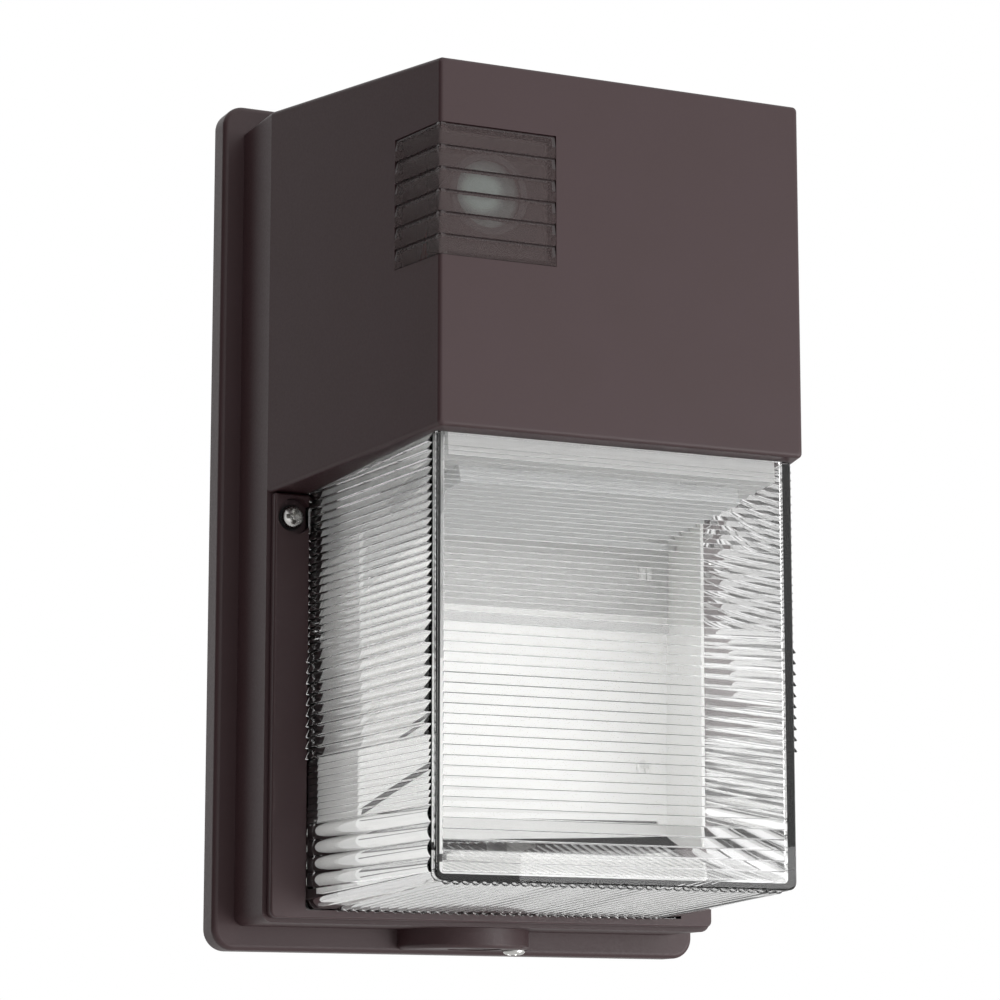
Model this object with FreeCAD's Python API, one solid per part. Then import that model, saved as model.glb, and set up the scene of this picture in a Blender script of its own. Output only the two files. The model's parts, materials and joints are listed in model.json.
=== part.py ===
import FreeCAD
import Part

import math
import os

# A wall pack light. Millimetres. The origin is the middle of the wall face,
# +Y points into the wall, the light faces -Y and +Z is up.
# Depths are written as distances in front of the wall, and become -Y in the helpers.

# wall flange and tier of the housing
flange_width = 195.8
flange_height = 317.0
flange_depth = 10.2
flange_corner = 8.0
flange_edge = 2.0
flange_ring = 7.4
back_wall = 2.5
tier_side_margin = 8.1
tier_bottom_margin = 8.8
tier_top_margin = 10.2
tier_corner = 4.0
rim_front = 39.5
tier_wall = 3.5

# upper box of the housing, tapered towards the front
overall_depth = 149.7
box_side_draw = 19.8
box_top_draw = 8.9
box_front_bottom = 11.1
box_rear_bottom = 5.0
box_wall = 3.3
box_edge = 1.6
shelf_wall = 2.8
mouth_inset = 3.4

# half-round conduit hub under the tier
hub_radius = 25.5
hub_height = 7.4
hub_edge = 1.5
conduit_radius = 10.2
conduit_centre = 23.0
conduit_boss_wall = 3.6
conduit_boss_rise = 4.2
plug_clearance = 0.15
plug_flange = 1.4
plug_slot = 2.0

# lens and its frame
frame_rise = 4.8
frame_thickness = 3.8
frame_reveal = 1.5
frame_top_gap = 0.6
lens_setback = 5.7
lens_front_inset = 1.9
lens_rear_inset = 14.9
lens_bottom_margin = 4.8
lens_bottom_draft = 4.6
lens_wall = 2.6
lens_column = 6.5
lens_top_gap = 0.45
lens_gap = 0.35
lens_lip = 3.6
lens_lip_thickness = 1.6
lens_seal_thickness = 0.6
lens_lip_top = -14.0
clip_drop = 31.0
clip_rise = 29.9
side_rib_counts = (22, 10, 10, 4)
side_rib_pitches = (2.88, 3.87, 2.29, 5.74)
side_rib_depths = (1.7, 2.4, 0.8, 1.0)
side_rib_top = 9.8
front_rib_counts = (18, 13, 20, 5)
front_rib_pitches = (1.67, 2.15, 3.46, 3.65)
front_rib_depth = 0.5
bottom_rib_pitch = 3.58
bottom_rib_depth = 0.8

# door hooks, which tilt on the lip of the tier
hook_offset = 50.0
hook_width = 14.0
hook_reach = 7.0
hook_drop = 1.6
hook_thickness = 2.8
hook_gap = 0.4
lip_thickness = 1.3

# door screws in their pockets
screw_margin = 9.2
screw_height = -3.6
pocket_radius = 6.6
pocket_depth = 4.5
pocket_floor = 2.0
head_radius = 4.1
head_height = 2.6
thread_radius = 2.0
thread_length = 10.6
thread_clearance = 0.45
washer_thickness = 0.6
boss_wall = 2.6
seat_gap = 0.4

# gaskets
wall_seal_width = 4.0
wall_seal_depth = 2.0
wall_seal_inset = 1.8
door_seal_width = 1.4

# mounting plate behind the back wall
plate_width = 112.0
plate_margin = 50.5
plate_thickness = 1.5
plate_corner = 6.0
supply_radius = 14.0
grommet_wall = 2.2
box_slot_spacing = 79.4
box_slot_length = 14.7
box_slot_radius = 2.6
wall_hole_margin_x = 10.0
wall_hole_margin_z = 13.0
wall_hole_radius = 2.7
hook_tab_width = 16.0
hook_tab_offset = 30.0
hook_tab_drop = 20.0
hook_tab_lip = 3.2
lift_room = 4.0
hook_slack = 0.3
tab_rise = 8.2
lock_screw_x = 17.5
lock_screw_depth = 20.0
nut_depth = 3.2

# gear tray and white reflector inside the lens
tray_thickness = 1.5
tray_lens_gap = 0.9
tray_front_height = 3.0
tray_rear_height = -28.5
tray_lip_top = 25.0
tray_flange = 24.0
tray_clearance = 2.9
tray_side_top = 12.0
tray_screw_x = 40.0
tray_screw_z = 19.0
panel_rise = 1.2
panel_thickness = 1.2
panel_margin = 21.0
panel_gap = 2.72
standoff_margin_x = 11.5
standoff_drop = 8.5
standoff_rise = 19.9
skirt_clearance = 2.8
skirt_slot = 3.0
skirt_web = 5.0
panel_side_depth = 32.0
panel_side_gap = 0.5
standoff_radius = 4.0
small_screw = 1.5

# light engine
board_width = 104.0
board_length = 50.0
board_thickness = 1.6
pad_thickness = 0.5
chip_columns = 8
chip_rows = 3
chip_pitch_x = 12.0
chip_pitch_y = 14.0
chip_size = 3.5
chip_height = 0.8
lead_hole_offset = 6.0
lead_hole_margin = 8.0
lead_plug_rise = 12.0

# diffusing cover over the light engine
cover_margin = 2.0
cover_lead_room = 12.0
cover_wall = 1.2
cover_depth = 6.0
cover_tab_width = 6.0
cover_tab_offset = 34.0
cover_tab_barb = 0.7
cover_tab_fit = 0.25

# driver in the upper box
driver_width = 66.0
driver_rise = 27.0
driver_headroom = 18.8
driver_rear = 13.6
driver_depth = 30.0
driver_wall = 1.5
ear_length = 10.0
ear_thickness = 2.0
board_stand = 2.5
driver_board_margin = 3.5
transformer_size = (28.0, 17.0, 26.0)
transformer_drop = 26.0
large_capacitor = (-20.0, 6.0, 18.0)
large_capacitor_drop = 14.0
small_capacitor = (18.0, 5.0, 15.0)
small_capacitor_drop = 16.0
terminal_x = (-16.0, 17.0)
terminal_size = ((16.0, 12.0, 16.0), (18.0, 10.0, 16.0))
terminal_rise = (14.0, 12.0)
screw_grip = 8.0

# photocell and its corner window
window_left_reach = 27.9
window_front_reach = 43.7
window_drop = 23.1
window_height = 46.1
window_thickness = 2.5
window_fit = 0.2
window_lip = 3.0
window_lip_thickness = 1.2
window_seal = 1.0
slat_pitch = 7.8
slat_recess = 0.7
slat_ramp = 0.6
cell_reach = 19.9
cell_lift = 0.75
cell_rim_radius = 14.7
cell_dome_radius = 11.9
cell_dome_rise = 1.2
cell_rim_depth = 3.2
cell_body_radius = 12.3
cell_stem_radius = 5.5
cell_stem_length = 12.0
nut_height = 5.0
nut_flat = 15.0
bracket_setback = 20.7
bracket_thickness = 1.5
bracket_screw_gap = 9.3
bracket_screw_rise = 12.0

# wiring
wire_diameter = 2.4
wire_gap = 0.5
connector_radius = 5.0
connector_length = 20.0
connector_inset = 14.0
connector_pitch = 14.0
connector_depth = 19.5
connector_top = -46.0
connector_stretch = 9.0
ground_inset = 10.0
ground_z = 12.0
wire_side_step = 1.6
input_lead_drop = 16.0
input_lead_step = 12.0
led_lead_drop = 14.0
led_lead_step = 6.0
led_lead_reach = 42.0
cell_lead_drop = 64.0
cell_lead_step = 28.0
ground_seat = 16.0

# worked out from the sizes above
half_width = flange_width / 2
half_height = flange_height / 2
tier_half = half_width - tier_side_margin
tier_bottom = tier_bottom_margin - half_height
tier_top = half_height - tier_top_margin
inner_half = tier_half - tier_wall
inner_bottom = tier_bottom + tier_wall
inner_top = tier_top - tier_wall
box_front_half = tier_half - box_side_draw
box_front_top = tier_top - box_top_draw
flare = box_side_draw / (overall_depth - rim_front)
flare_angle = math.degrees(math.atan(flare))
box_inner_front = overall_depth - box_wall
frame_front = rim_front + frame_rise
frame_rear = frame_front - frame_thickness
frame_half = tier_half - frame_reveal
frame_bottom = tier_bottom + frame_reveal
lens_front = overall_depth - lens_setback
lens_front_half = box_front_half - lens_front_inset
lens_rear_half = tier_half - lens_rear_inset
lens_rear_bottom = tier_bottom + lens_bottom_margin
lens_front_bottom = lens_rear_bottom + lens_bottom_draft
lens_lip_rear = frame_rear + 0.15
lens_lip_front = lens_lip_rear + lens_lip_thickness
hook_bottom = frame_bottom + 0.2
screw_offset = tier_half - screw_margin
tray_front = lens_front - lens_wall - tray_lens_gap
panel_front = frame_front + panel_rise
panel_bottom = lens_rear_bottom + panel_margin
tray_slope = math.atan((tray_front_height - tray_rear_height) / (tray_front - panel_front - tray_thickness))
floor_front = frame_front - pocket_depth
boss_front = floor_front - pocket_floor - seat_gap
hub_bottom = tier_bottom - hub_height
plate_height = flange_height - 2 * plate_margin
wall_hole_spacing_x = plate_width - 2 * wall_hole_margin_x
wall_hole_spacing_z = plate_height - 2 * wall_hole_margin_z
hook_tab_seat = plate_height / 2 - hook_tab_drop
tab_height = tier_bottom + tab_rise
driver_bottom = box_rear_bottom + driver_rise
driver_top = inner_top - driver_headroom
lead_depth = driver_rear + driver_wall + board_stand + board_thickness + wire_diameter / 2
window_right = window_front_reach - box_front_half
window_top = box_front_top - window_drop
window_bottom = window_top - window_height
cell_x = cell_reach - box_front_half
cell_z = (window_top + window_bottom) / 2 + cell_lift
cell_seat = overall_depth - window_thickness - 0.4 - cell_rim_depth
bracket_depth = overall_depth - bracket_setback
bracket_screw_x = window_right + bracket_screw_gap
cell_body_length = cell_seat - bracket_depth


def box_bottom(depth):
    share = (depth - rim_front) / (overall_depth - rim_front)
    return box_rear_bottom + (box_front_bottom - box_rear_bottom) * share


def lens_half(depth):
    share = (depth - frame_front) / (lens_front - frame_front)
    return lens_rear_half + (lens_front_half - lens_rear_half) * share


def lens_bottom(depth):
    share = (depth - frame_front) / (lens_front - frame_front)
    return lens_rear_bottom + (lens_front_bottom - lens_rear_bottom) * share


def tray_half(depth):
    return lens_half(depth) - lens_wall - tray_clearance


panel_half = lens_half(panel_front) - lens_wall - panel_gap
standoff_x = panel_half - standoff_margin_x
standoff_top = tray_rear_height - standoff_drop
standoff_bottom = panel_bottom + standoff_rise
connector_outer = standoff_x - connector_inset
connector_x = [connector_pitch - connector_outer, -connector_outer, connector_outer - connector_pitch]
ground_x = standoff_x - ground_inset


def point(x, depth, z):
    return FreeCAD.Vector(x, -depth, z)


def block(x0, x1, depth0, depth1, z0, z1):
    low, high = min(depth0, depth1), max(depth0, depth1)
    corner = FreeCAD.Vector(min(x0, x1), -high, min(z0, z1))
    return Part.makeBox(abs(x1 - x0), high - low, abs(z1 - z0), corner)


def rod_y(x, z, radius, depth0, depth1):
    low, high = min(depth0, depth1), max(depth0, depth1)
    return Part.makeCylinder(radius, high - low, point(x, high, z), FreeCAD.Vector(0, 1, 0))


def rod_z(x, depth, radius, z0, z1):
    return Part.makeCylinder(radius, z1 - z0, point(x, depth, z0), FreeCAD.Vector(0, 0, 1))


def sheet_prism(points, direction):
    wire = Part.makePolygon(points + [points[0]])
    return Part.Face(wire).extrude(direction)


def side_profile(points, x0, x1):
    """A prism along X from (depth, z) points."""
    return sheet_prism([point(x0, d, z) for d, z in points], FreeCAD.Vector(x1 - x0, 0, 0))


def plan_profile(points, z0, z1):
    """A prism along Z from (x, depth) points."""
    return sheet_prism([point(x, d, z0) for x, d in points], FreeCAD.Vector(0, 0, z1 - z0))


def rounded_slab(half, z0, z1, corner, depth0, depth1, top_corner=None):
    """A slab in the XZ plane with rounded corners."""
    slab = block(-half, half, depth0, depth1, z0, z1)
    middle = (z0 + z1) / 2
    upright = [e for e in slab.Edges if abs(e.BoundBox.YLength - abs(depth1 - depth0)) < 1e-6
               and e.BoundBox.XLength < 1e-6 and e.BoundBox.ZLength < 1e-6]
    low = [e for e in upright if e.BoundBox.ZMin < middle]
    high = [e for e in upright if e.BoundBox.ZMin > middle]
    slab = slab.makeFillet(corner, low)
    top = corner if top_corner is None else top_corner
    corners = [e for e in slab.Edges if e.BoundBox.ZMin > middle and e.BoundBox.XLength < 1e-6
               and e.BoundBox.ZLength < 1e-6]
    return slab.makeFillet(top, corners) if high else slab


def taper(sections, corner=0.0, steps=6):
    """A flat-faced solid through rectangles, each (half width, z0, z1, depth), with rounded corners."""
    rings = []
    for half, z0, z1, depth in sections:
        ring = []
        for quarter, (x, z) in enumerate(((half, z1), (-half, z1), (-half, z0), (half, z0))):
            cx = x - math.copysign(corner, x)
            cz = z1 - corner if z == z1 else z0 + corner
            for i in range(steps + 1 if corner else 1):
                angle = math.pi / 2 * (quarter + i / steps)
                ring.append(point(cx + corner * math.cos(angle), depth, cz + corner * math.sin(angle)))
        rings.append(ring)
    faces = [Part.Face(Part.makePolygon(ring + [ring[0]])) for ring in (rings[0], rings[-1])]
    for low, high in zip(rings, rings[1:]):
        for i in range(len(low)):
            j = (i + 1) % len(low)
            faces.append(Part.Face(Part.makePolygon([low[i], low[j], high[j], high[i], low[i]])))
    return Part.makeSolid(Part.makeShell(faces))


def fuse_all(first, others):
    return first.multiFuse(others).removeSplitter()


def mirrored(shape):
    return shape.mirror(FreeCAD.Vector(0, 0, 0), FreeCAD.Vector(1, 0, 0))


def both_sides(shape):
    return [shape, mirrored(shape)]


def pan_head(radius, height, recess):
    """A pan head along +Z on the plane z = 0, with a cross recess in its top."""
    head = Part.makeCylinder(radius, height)
    rim = [e for e in head.Edges if e.BoundBox.ZMin > height - 1e-6 and e.BoundBox.XLength > 1e-6]
    head = head.makeFillet(height * 0.42, rim)
    arm = radius * 0.62
    blade = radius * 0.16
    cross = Part.makeBox(2 * arm, 2 * blade, recess, FreeCAD.Vector(-arm, -blade, height - recess))
    other = Part.makeBox(2 * blade, 2 * arm, recess, FreeCAD.Vector(-blade, -arm, height - recess))
    return head.cut(cross).cut(other)


def screw(radius, height, shank_radius, shank_length):
    """A screw along +Z: head above z = 0, shank below, with a cone at its tip."""
    head = pan_head(radius, height, height * 0.55)
    tip = shank_radius * 0.8
    shank = Part.makeCylinder(shank_radius, shank_length - tip, FreeCAD.Vector(0, 0, tip - shank_length))
    cone = Part.makeCone(shank_radius * 0.35, shank_radius, tip, FreeCAD.Vector(0, 0, -shank_length))
    return head.multiFuse([shank, cone]).removeSplitter()


def facing_front(shape, x, depth, z):
    """Places a shape made along +Z so that its top faces -Y."""
    turned = shape.copy()
    turned.Placement = FreeCAD.Placement(point(x, depth, z), FreeCAD.Rotation(FreeCAD.Vector(1, 0, 0), 90))
    return turned


def facing_rear(shape, x, depth, z):
    turned = shape.copy()
    turned.Placement = FreeCAD.Placement(point(x, depth, z), FreeCAD.Rotation(FreeCAD.Vector(1, 0, 0), -90))
    return turned


def facing_down(shape, x, depth, z):
    turned = shape.copy()
    turned.Placement = FreeCAD.Placement(point(x, depth, z), FreeCAD.Rotation(FreeCAD.Vector(1, 0, 0), 180))
    return turned


def on_tray(shape):
    """Carries a shape from the flat frame of the tray's lower face to its slope."""
    middle_depth = (tray_front + panel_front + tray_thickness) / 2
    middle_height = (tray_front_height + tray_rear_height) / 2
    placed = shape.copy()
    slope = FreeCAD.Rotation(FreeCAD.Vector(1, 0, 0), -math.degrees(tray_slope))
    seat = FreeCAD.Placement(point(0, middle_depth, middle_height), slope)
    placed.Placement = seat.multiply(placed.Placement)
    return placed


def wire_run(points, diameter=wire_diameter, bend=0.42):
    """A round wire along straight runs joined by tangent arcs."""
    corners = [point(*p) for p in points]
    edges = []
    start = corners[0]
    for before, corner, after in zip(corners, corners[1:], corners[2:]):
        into = (corner - before).normalize()
        out = (after - corner).normalize()
        turn = into.getAngle(out)
        cut = bend * min((corner - before).Length, (after - corner).Length)
        first = corner - into * cut
        last = corner + out * cut
        radius = cut / math.tan(turn / 2)
        inward = (out - into).normalize()
        middle = corner + inward * (radius / math.cos(turn / 2) - radius)
        edges.append(Part.LineSegment(start, first).toShape())
        edges.append(Part.Arc(first, middle, last).toShape())
        start = last
    edges.append(Part.LineSegment(start, corners[-1]).toShape())
    path = Part.Wire(edges)
    direction = corners[1] - corners[0]
    section = Part.Wire([Part.makeCircle(diameter / 2, corners[0], direction)])
    return path.makePipeShell([section], True, False)


def make_outer_housing():
    flange = rounded_slab(half_width, -half_height, half_height, flange_corner, 0, flange_depth)
    front_edges = [e for e in flange.Edges if e.BoundBox.YMax < -flange_depth + 1e-6]
    flange = flange.makeFillet(flange_edge, front_edges)
    tier = block(-tier_half, tier_half, back_wall, rim_front, tier_bottom, box_front_bottom * 2)
    low_corners = [e for e in tier.Edges if e.BoundBox.ZMax < tier_bottom + 1e-6 and e.BoundBox.YLength > 1]
    tier = tier.makeFillet(tier_corner, low_corners)
    sections = [(tier_half, box_rear_bottom, tier_top, back_wall),
                (tier_half, box_rear_bottom, tier_top, rim_front)]
    for i in range(7):
        angle = math.pi / 2 * i / 6
        inset = (box_edge - 0.1) * (1 - math.cos(angle))
        sections.append((box_front_half - inset, box_front_bottom + inset, box_front_top - inset,
                         overall_depth - box_edge * (1 - math.sin(angle))))
    upper = taper(sections, box_edge)
    hub = rod_z(0, flange_depth, hub_radius, hub_bottom, tier_bottom + tier_wall / 2)
    hub_rim = [e for e in hub.Edges if e.BoundBox.ZMax < hub_bottom + 1e-6 and e.BoundBox.XLength > 1]
    hub = hub.makeFillet(hub_edge, hub_rim)
    hub = hub.common(block(-half_width, half_width, flange_ring / 2, rim_front, -half_height, 0))
    return fuse_all(flange, [tier, upper, hub])


def make_housing():
    body = make_outer_housing()
    wall_front = flange_depth
    rear_space = rounded_slab(half_width - flange_ring, flange_ring - half_height, half_height - flange_ring,
                              tier_corner, -1, wall_front - back_wall)
    lower_space = rounded_slab(inner_half, inner_bottom, inner_top, tier_corner - 1, wall_front, rim_front)
    lower_mouth = rounded_slab(inner_half, inner_bottom, box_rear_bottom, tier_corner - 1,
                               rim_front - 1, rim_front + 1, 0.5)
    rear_upper = (inner_half, box_rear_bottom + shelf_wall, inner_top, rim_front - 0.5)
    front_upper = (inner_half - flare * (box_inner_front - rim_front), box_front_bottom + shelf_wall,
                   box_front_top - box_wall, box_inner_front)
    upper_space = taper([rear_upper, front_upper])
    mouth_front = lens_front - mouth_inset
    mouth_rear = rim_front - 0.5
    mouth = plan_profile([(-lens_half(mouth_front) + mouth_inset, mouth_front),
                          (lens_half(mouth_front) - mouth_inset, mouth_front),
                          (lens_half(mouth_rear) - mouth_inset, mouth_rear),
                          (-lens_half(mouth_rear) + mouth_inset, mouth_rear)],
                         box_rear_bottom - 5, box_front_bottom + shelf_wall + 5)
    body = body.cut(rear_space).cut(lower_space).cut(lower_mouth).cut(upper_space).cut(mouth)

    added = []
    for x in (-standoff_x, standoff_x):
        for z in (standoff_top, standoff_bottom):
            added.append(rod_y(x, z, standoff_radius, wall_front - 1, panel_front - panel_thickness))
    door_boss = rod_y(screw_offset, screw_height, thread_radius + thread_clearance + boss_wall,
                      wall_front - 1, boss_front)
    added += both_sides(door_boss)
    for z in (driver_bottom - ear_length / 2, driver_top + ear_length / 2):
        added.append(rod_y(0, z, standoff_radius, wall_front - 1, driver_rear))
    added.append(rod_y(ground_x, ground_z, standoff_radius, wall_front - 1, ground_seat))
    for z in (cell_z - bracket_screw_rise, cell_z + bracket_screw_rise):
        added.append(rod_y(bracket_screw_x, z, standoff_radius, bracket_depth, box_inner_front + 1))
    for x in (-tray_screw_x, tray_screw_x):
        added.append(rod_y(x, tray_screw_z, standoff_radius, tray_front, box_inner_front + 1))
    added.append(rod_z(0, conduit_centre, conduit_radius + conduit_boss_wall,
                       tier_bottom + 0.5, inner_bottom + conduit_boss_rise))
    body = fuse_all(body, added)

    holes = []
    for x in (-standoff_x, standoff_x):
        for z in (standoff_top, standoff_bottom):
            holes.append(rod_y(x, z, small_screw, panel_front - 12, panel_front))
    door_hole = rod_y(screw_offset, screw_height, thread_radius + thread_clearance,
                      floor_front - thread_length - 1, boss_front + 1)
    holes += both_sides(door_hole)
    for z in (driver_bottom - ear_length / 2, driver_top + ear_length / 2):
        holes.append(rod_y(0, z, small_screw, wall_front - 0.6, driver_rear + 1))
    holes.append(rod_y(ground_x, ground_z, small_screw, wall_front - 0.6, ground_seat + 1))
    for z in (cell_z - bracket_screw_rise, cell_z + bracket_screw_rise):
        holes.append(rod_y(bracket_screw_x, z, small_screw, bracket_depth - 1, bracket_depth + 9))
    for x in (-tray_screw_x, tray_screw_x):
        holes.append(rod_y(x, tray_screw_z, small_screw, tray_front - 1, tray_front + 5))
    entry_top = inner_bottom + conduit_boss_rise + 1
    holes.append(rod_z(0, conduit_centre, conduit_radius, hub_bottom - 1, entry_top))
    holes.append(rod_y(0, 0, supply_radius, -1, wall_front + 1))
    for x in (-hook_tab_offset, hook_tab_offset):
        holes.append(block(x - hook_tab_width / 2 - 1, x + hook_tab_width / 2 + 1,
                           wall_front - back_wall - 1, wall_front + 1,
                           hook_tab_seat - plate_thickness - lift_room, hook_tab_seat))
    holes.append(block(lock_screw_x - 7, lock_screw_x + 7, wall_front - back_wall - 1, wall_front + 1,
                       tab_height - lift_room, tab_height + plate_thickness + nut_depth + 0.4))
    holes.append(rod_z(lock_screw_x, lock_screw_depth, thread_radius + 0.3, hub_bottom - 1, inner_bottom + 1))
    holes.append(rod_z(lock_screw_x, lock_screw_depth, head_radius + 0.9, hub_bottom - 1,
                       hub_bottom + head_height * 0.3))
    hook_pocket = block(hook_offset - hook_width / 2 - hook_gap, hook_offset + hook_width / 2 + hook_gap,
                        rim_front - lip_thickness, frame_rear - hook_reach - 1.2,
                        inner_bottom - hook_drop - 0.3, inner_bottom + 1)
    holes += both_sides(hook_pocket)
    seal = rounded_slab(half_width - wall_seal_inset, wall_seal_inset - half_height, half_height - wall_seal_inset,
                        flange_corner - wall_seal_inset, -1, wall_seal_depth)
    inset = wall_seal_inset + wall_seal_width
    seal = seal.cut(rounded_slab(half_width - inset, inset - half_height, half_height - inset,
                                 flange_corner - inset, -2, wall_seal_depth + 1))
    holes.append(seal)
    holes += window_openings()
    for hole in holes:
        body = body.cut(hole)
    return body


def on_left_side(shape):
    """Turns a shape from the front corner's frame, where +X runs back, onto the flared left side."""
    turned = shape.copy()
    corner = point(-box_front_half, overall_depth, 0)
    turned.Placement = FreeCAD.Placement(corner, FreeCAD.Rotation(FreeCAD.Vector(0, 0, 1), 90 + flare_angle))
    return turned


def window_openings():
    fit = window_fit
    front = block(-box_front_half - 5, window_right + fit, box_inner_front - 1, overall_depth + 1,
                  window_bottom - fit, window_top + fit)
    side = Part.makeBox(window_left_reach + fit + 3, box_wall + 4, window_top - window_bottom + 2 * fit,
                        FreeCAD.Vector(-3, -box_wall - 2, window_bottom - fit))
    return [front, on_left_side(side)]


def slat_points():
    """The ridged outline of the window in its own section: (recess, z) from the bottom up."""
    points = []
    z = window_top
    while z - window_bottom > slat_pitch * 0.3:
        low = max(z - slat_pitch, window_bottom)
        ramp = max(z - slat_pitch * slat_ramp, window_bottom + 0.2)
        points += [(slat_recess, z), (0.0, ramp), (0.0, low)]
        z = low
    return points[::-1]


def make_photocell_window():
    outline = slat_points()
    inner = [(window_thickness, window_top), (window_thickness, window_bottom)]
    section = outline + inner
    front = side_profile([(overall_depth - r, z) for r, z in section], -box_front_half, window_right)
    lip_out = box_inner_front - window_seal
    lip_in = lip_out - window_lip_thickness
    left = -box_front_half + box_wall + 1.0
    frame = block(left, window_right + window_lip, lip_in, lip_out,
                  window_bottom - window_lip, window_top + window_lip)
    frame = frame.fuse(block(left, window_right, lip_out - 0.2, overall_depth - window_thickness,
                             window_bottom, window_top))
    frame = frame.cut(block(left - 1, window_right - 2, lip_in - 1, overall_depth - window_thickness,
                            window_bottom + 2, window_top - 2))
    side_points = [FreeCAD.Vector(0, -r, z) for r, z in section]
    side = sheet_prism(side_points, FreeCAD.Vector(window_left_reach, 0, 0))
    side = on_left_side(side)
    corner = block(-box_front_half - 1, -box_front_half + window_thickness, overall_depth - window_thickness,
                   overall_depth, window_bottom, window_top)
    corner = corner.common(front.fuse(side))
    return fuse_all(front, [side, frame, corner])


def make_window_gasket():
    left = -box_front_half + box_wall + 1.5
    outer = block(left, window_right + window_lip, box_inner_front - window_seal, box_inner_front,
                  window_bottom - window_lip, window_top + window_lip)
    return outer.cut(block(left - 1, window_right + 0.3, box_inner_front - 5, overall_depth,
                           window_bottom - 0.3, window_top + 0.3))


def rib_zone(z, count, pitch, depth):
    """Saw teeth below a height: (depth, z) points, each one sloping out to a level lower edge."""
    points = []
    for i in range(count):
        top = z - i * pitch
        points += [(0.0, top), (depth, top - pitch * 0.85), (0.0, top - pitch * 0.95)]
    return points, z - count * pitch


def side_rib_points():
    points = []
    z = side_rib_top
    for count, pitch, depth in zip(side_rib_counts, side_rib_pitches, side_rib_depths):
        zone, z = rib_zone(z, count, pitch, depth)
        points += zone
    return points


def front_ribs():
    """The finer ribs across the inner face of the lens front."""
    inner = lens_front - lens_wall
    half = lens_half(inner) - lens_wall - 1.0
    z = box_bottom(lens_front) - lens_top_gap - 2.5
    teeth = []
    for count, pitch in zip(front_rib_counts, front_rib_pitches):
        zone, z = rib_zone(z, count, pitch, front_rib_depth)
        teeth += zone
    ring = [(inner - d, z) for d, z in teeth] + [(inner + 0.4, teeth[-1][1]), (inner + 0.4, teeth[0][1])]
    ribs = side_profile(ring, -half, half)
    low = lens_bottom(inner) + lens_wall + 0.2
    return ribs.common(block(-half, half, 0, overall_depth, low, half_height))


def make_lens():
    rear = lens_lip_rear
    top_front = box_bottom(lens_front) - lens_top_gap
    outer_points = [(rear, box_bottom(rear) - lens_top_gap), (lens_front, top_front),
                    (lens_front, lens_bottom(lens_front)), (rear, lens_bottom(rear))]
    plan = [(-lens_half(rear), rear), (lens_half(rear), rear),
            (lens_half(lens_front), lens_front), (-lens_half(lens_front), lens_front)]
    shell = side_profile(outer_points, -box_front_half * 2, box_front_half * 2)
    shell = shell.common(plan_profile(plan, -half_height, half_height))
    inner_front = lens_front - lens_wall
    inner_points = [(rear - 1, half_height / 2), (inner_front, half_height / 2),
                    (inner_front, lens_bottom(inner_front) + lens_wall),
                     (rear - 1, lens_bottom(rear) + lens_wall)]
    inner_plan = [(-lens_half(rear - 1) + lens_wall, rear - 1), (lens_half(rear - 1) - lens_wall, rear - 1),
                  (lens_half(inner_front) - lens_wall, inner_front),
                  (-lens_half(inner_front) + lens_wall, inner_front)]
    hollow = side_profile(inner_points, -box_front_half * 2, box_front_half * 2)
    hollow = hollow.common(plan_profile(inner_plan, -half_height, half_height))
    shell = shell.cut(hollow)

    side_angle = math.atan((lens_rear_half - lens_front_half) / (lens_front - frame_front))
    run = (lens_front - lens_column - frame_front - 1.5) / math.cos(side_angle)
    teeth = side_rib_points()
    ring = [FreeCAD.Vector(0, d, z) for d, z in teeth]
    ring += [FreeCAD.Vector(0, -0.5, teeth[-1][1]), FreeCAD.Vector(0, -0.5, teeth[0][1])]
    ribs = sheet_prism(ring, FreeCAD.Vector(run, 0, 0))
    start = frame_front + 1.5
    turn = FreeCAD.Rotation(FreeCAD.Vector(0, 0, 1), math.degrees(-math.pi / 2 - side_angle))
    ribs.Placement = FreeCAD.Placement(point(lens_half(start), start, 0), turn)
    room = side_profile([(rear, box_bottom(rear) - lens_top_gap), (lens_front, top_front),
                         (lens_front, lens_bottom(lens_front)), (rear, lens_bottom(rear))],
                        -half_width, half_width)
    extra = both_sides(ribs.common(room)) + [front_ribs()]

    bottom_slope = math.atan((lens_front_bottom - lens_rear_bottom) / (lens_front - frame_front))
    count = int(2 * (lens_front_half - lens_column) / bottom_rib_pitch)
    length = (lens_front - lens_column * 0.2 - frame_front - 1.5) / math.cos(bottom_slope)
    for i in range(count):
        x = (i - (count - 1) / 2) * bottom_rib_pitch
        half = bottom_rib_pitch * 0.42
        tooth = [FreeCAD.Vector(x - half, 0, 0.4), FreeCAD.Vector(x + half, 0, 0.4),
                 FreeCAD.Vector(x + half * 0.4, 0, -bottom_rib_depth),
                 FreeCAD.Vector(x - half * 0.4, 0, -bottom_rib_depth)]
        rib = sheet_prism(tooth, FreeCAD.Vector(0, -length, 0))
        rib.Placement = FreeCAD.Placement(point(0, start, lens_bottom(start)),
                                          FreeCAD.Rotation(FreeCAD.Vector(1, 0, 0), -math.degrees(bottom_slope)))
        extra.append(rib)

    lip_half = lens_half(rear) + lens_lip
    lip = block(-lip_half, lip_half, rear, lens_lip_front, lens_rear_bottom - 1.8, lens_lip_top)
    lip = lip.cut(block(-lens_half(rear) + lens_wall, lens_half(rear) - lens_wall, 0, overall_depth,
                        lens_rear_bottom + lens_wall, half_height))
    for side in (-1, 1):
        lip = lip.cut(block(side * hook_offset - hook_width / 2 - hook_gap,
                            side * hook_offset + hook_width / 2 + hook_gap,
                            0, overall_depth, -half_height, lens_rear_bottom - 0.2))
    return fuse_all(shell, extra + [lip])


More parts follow.
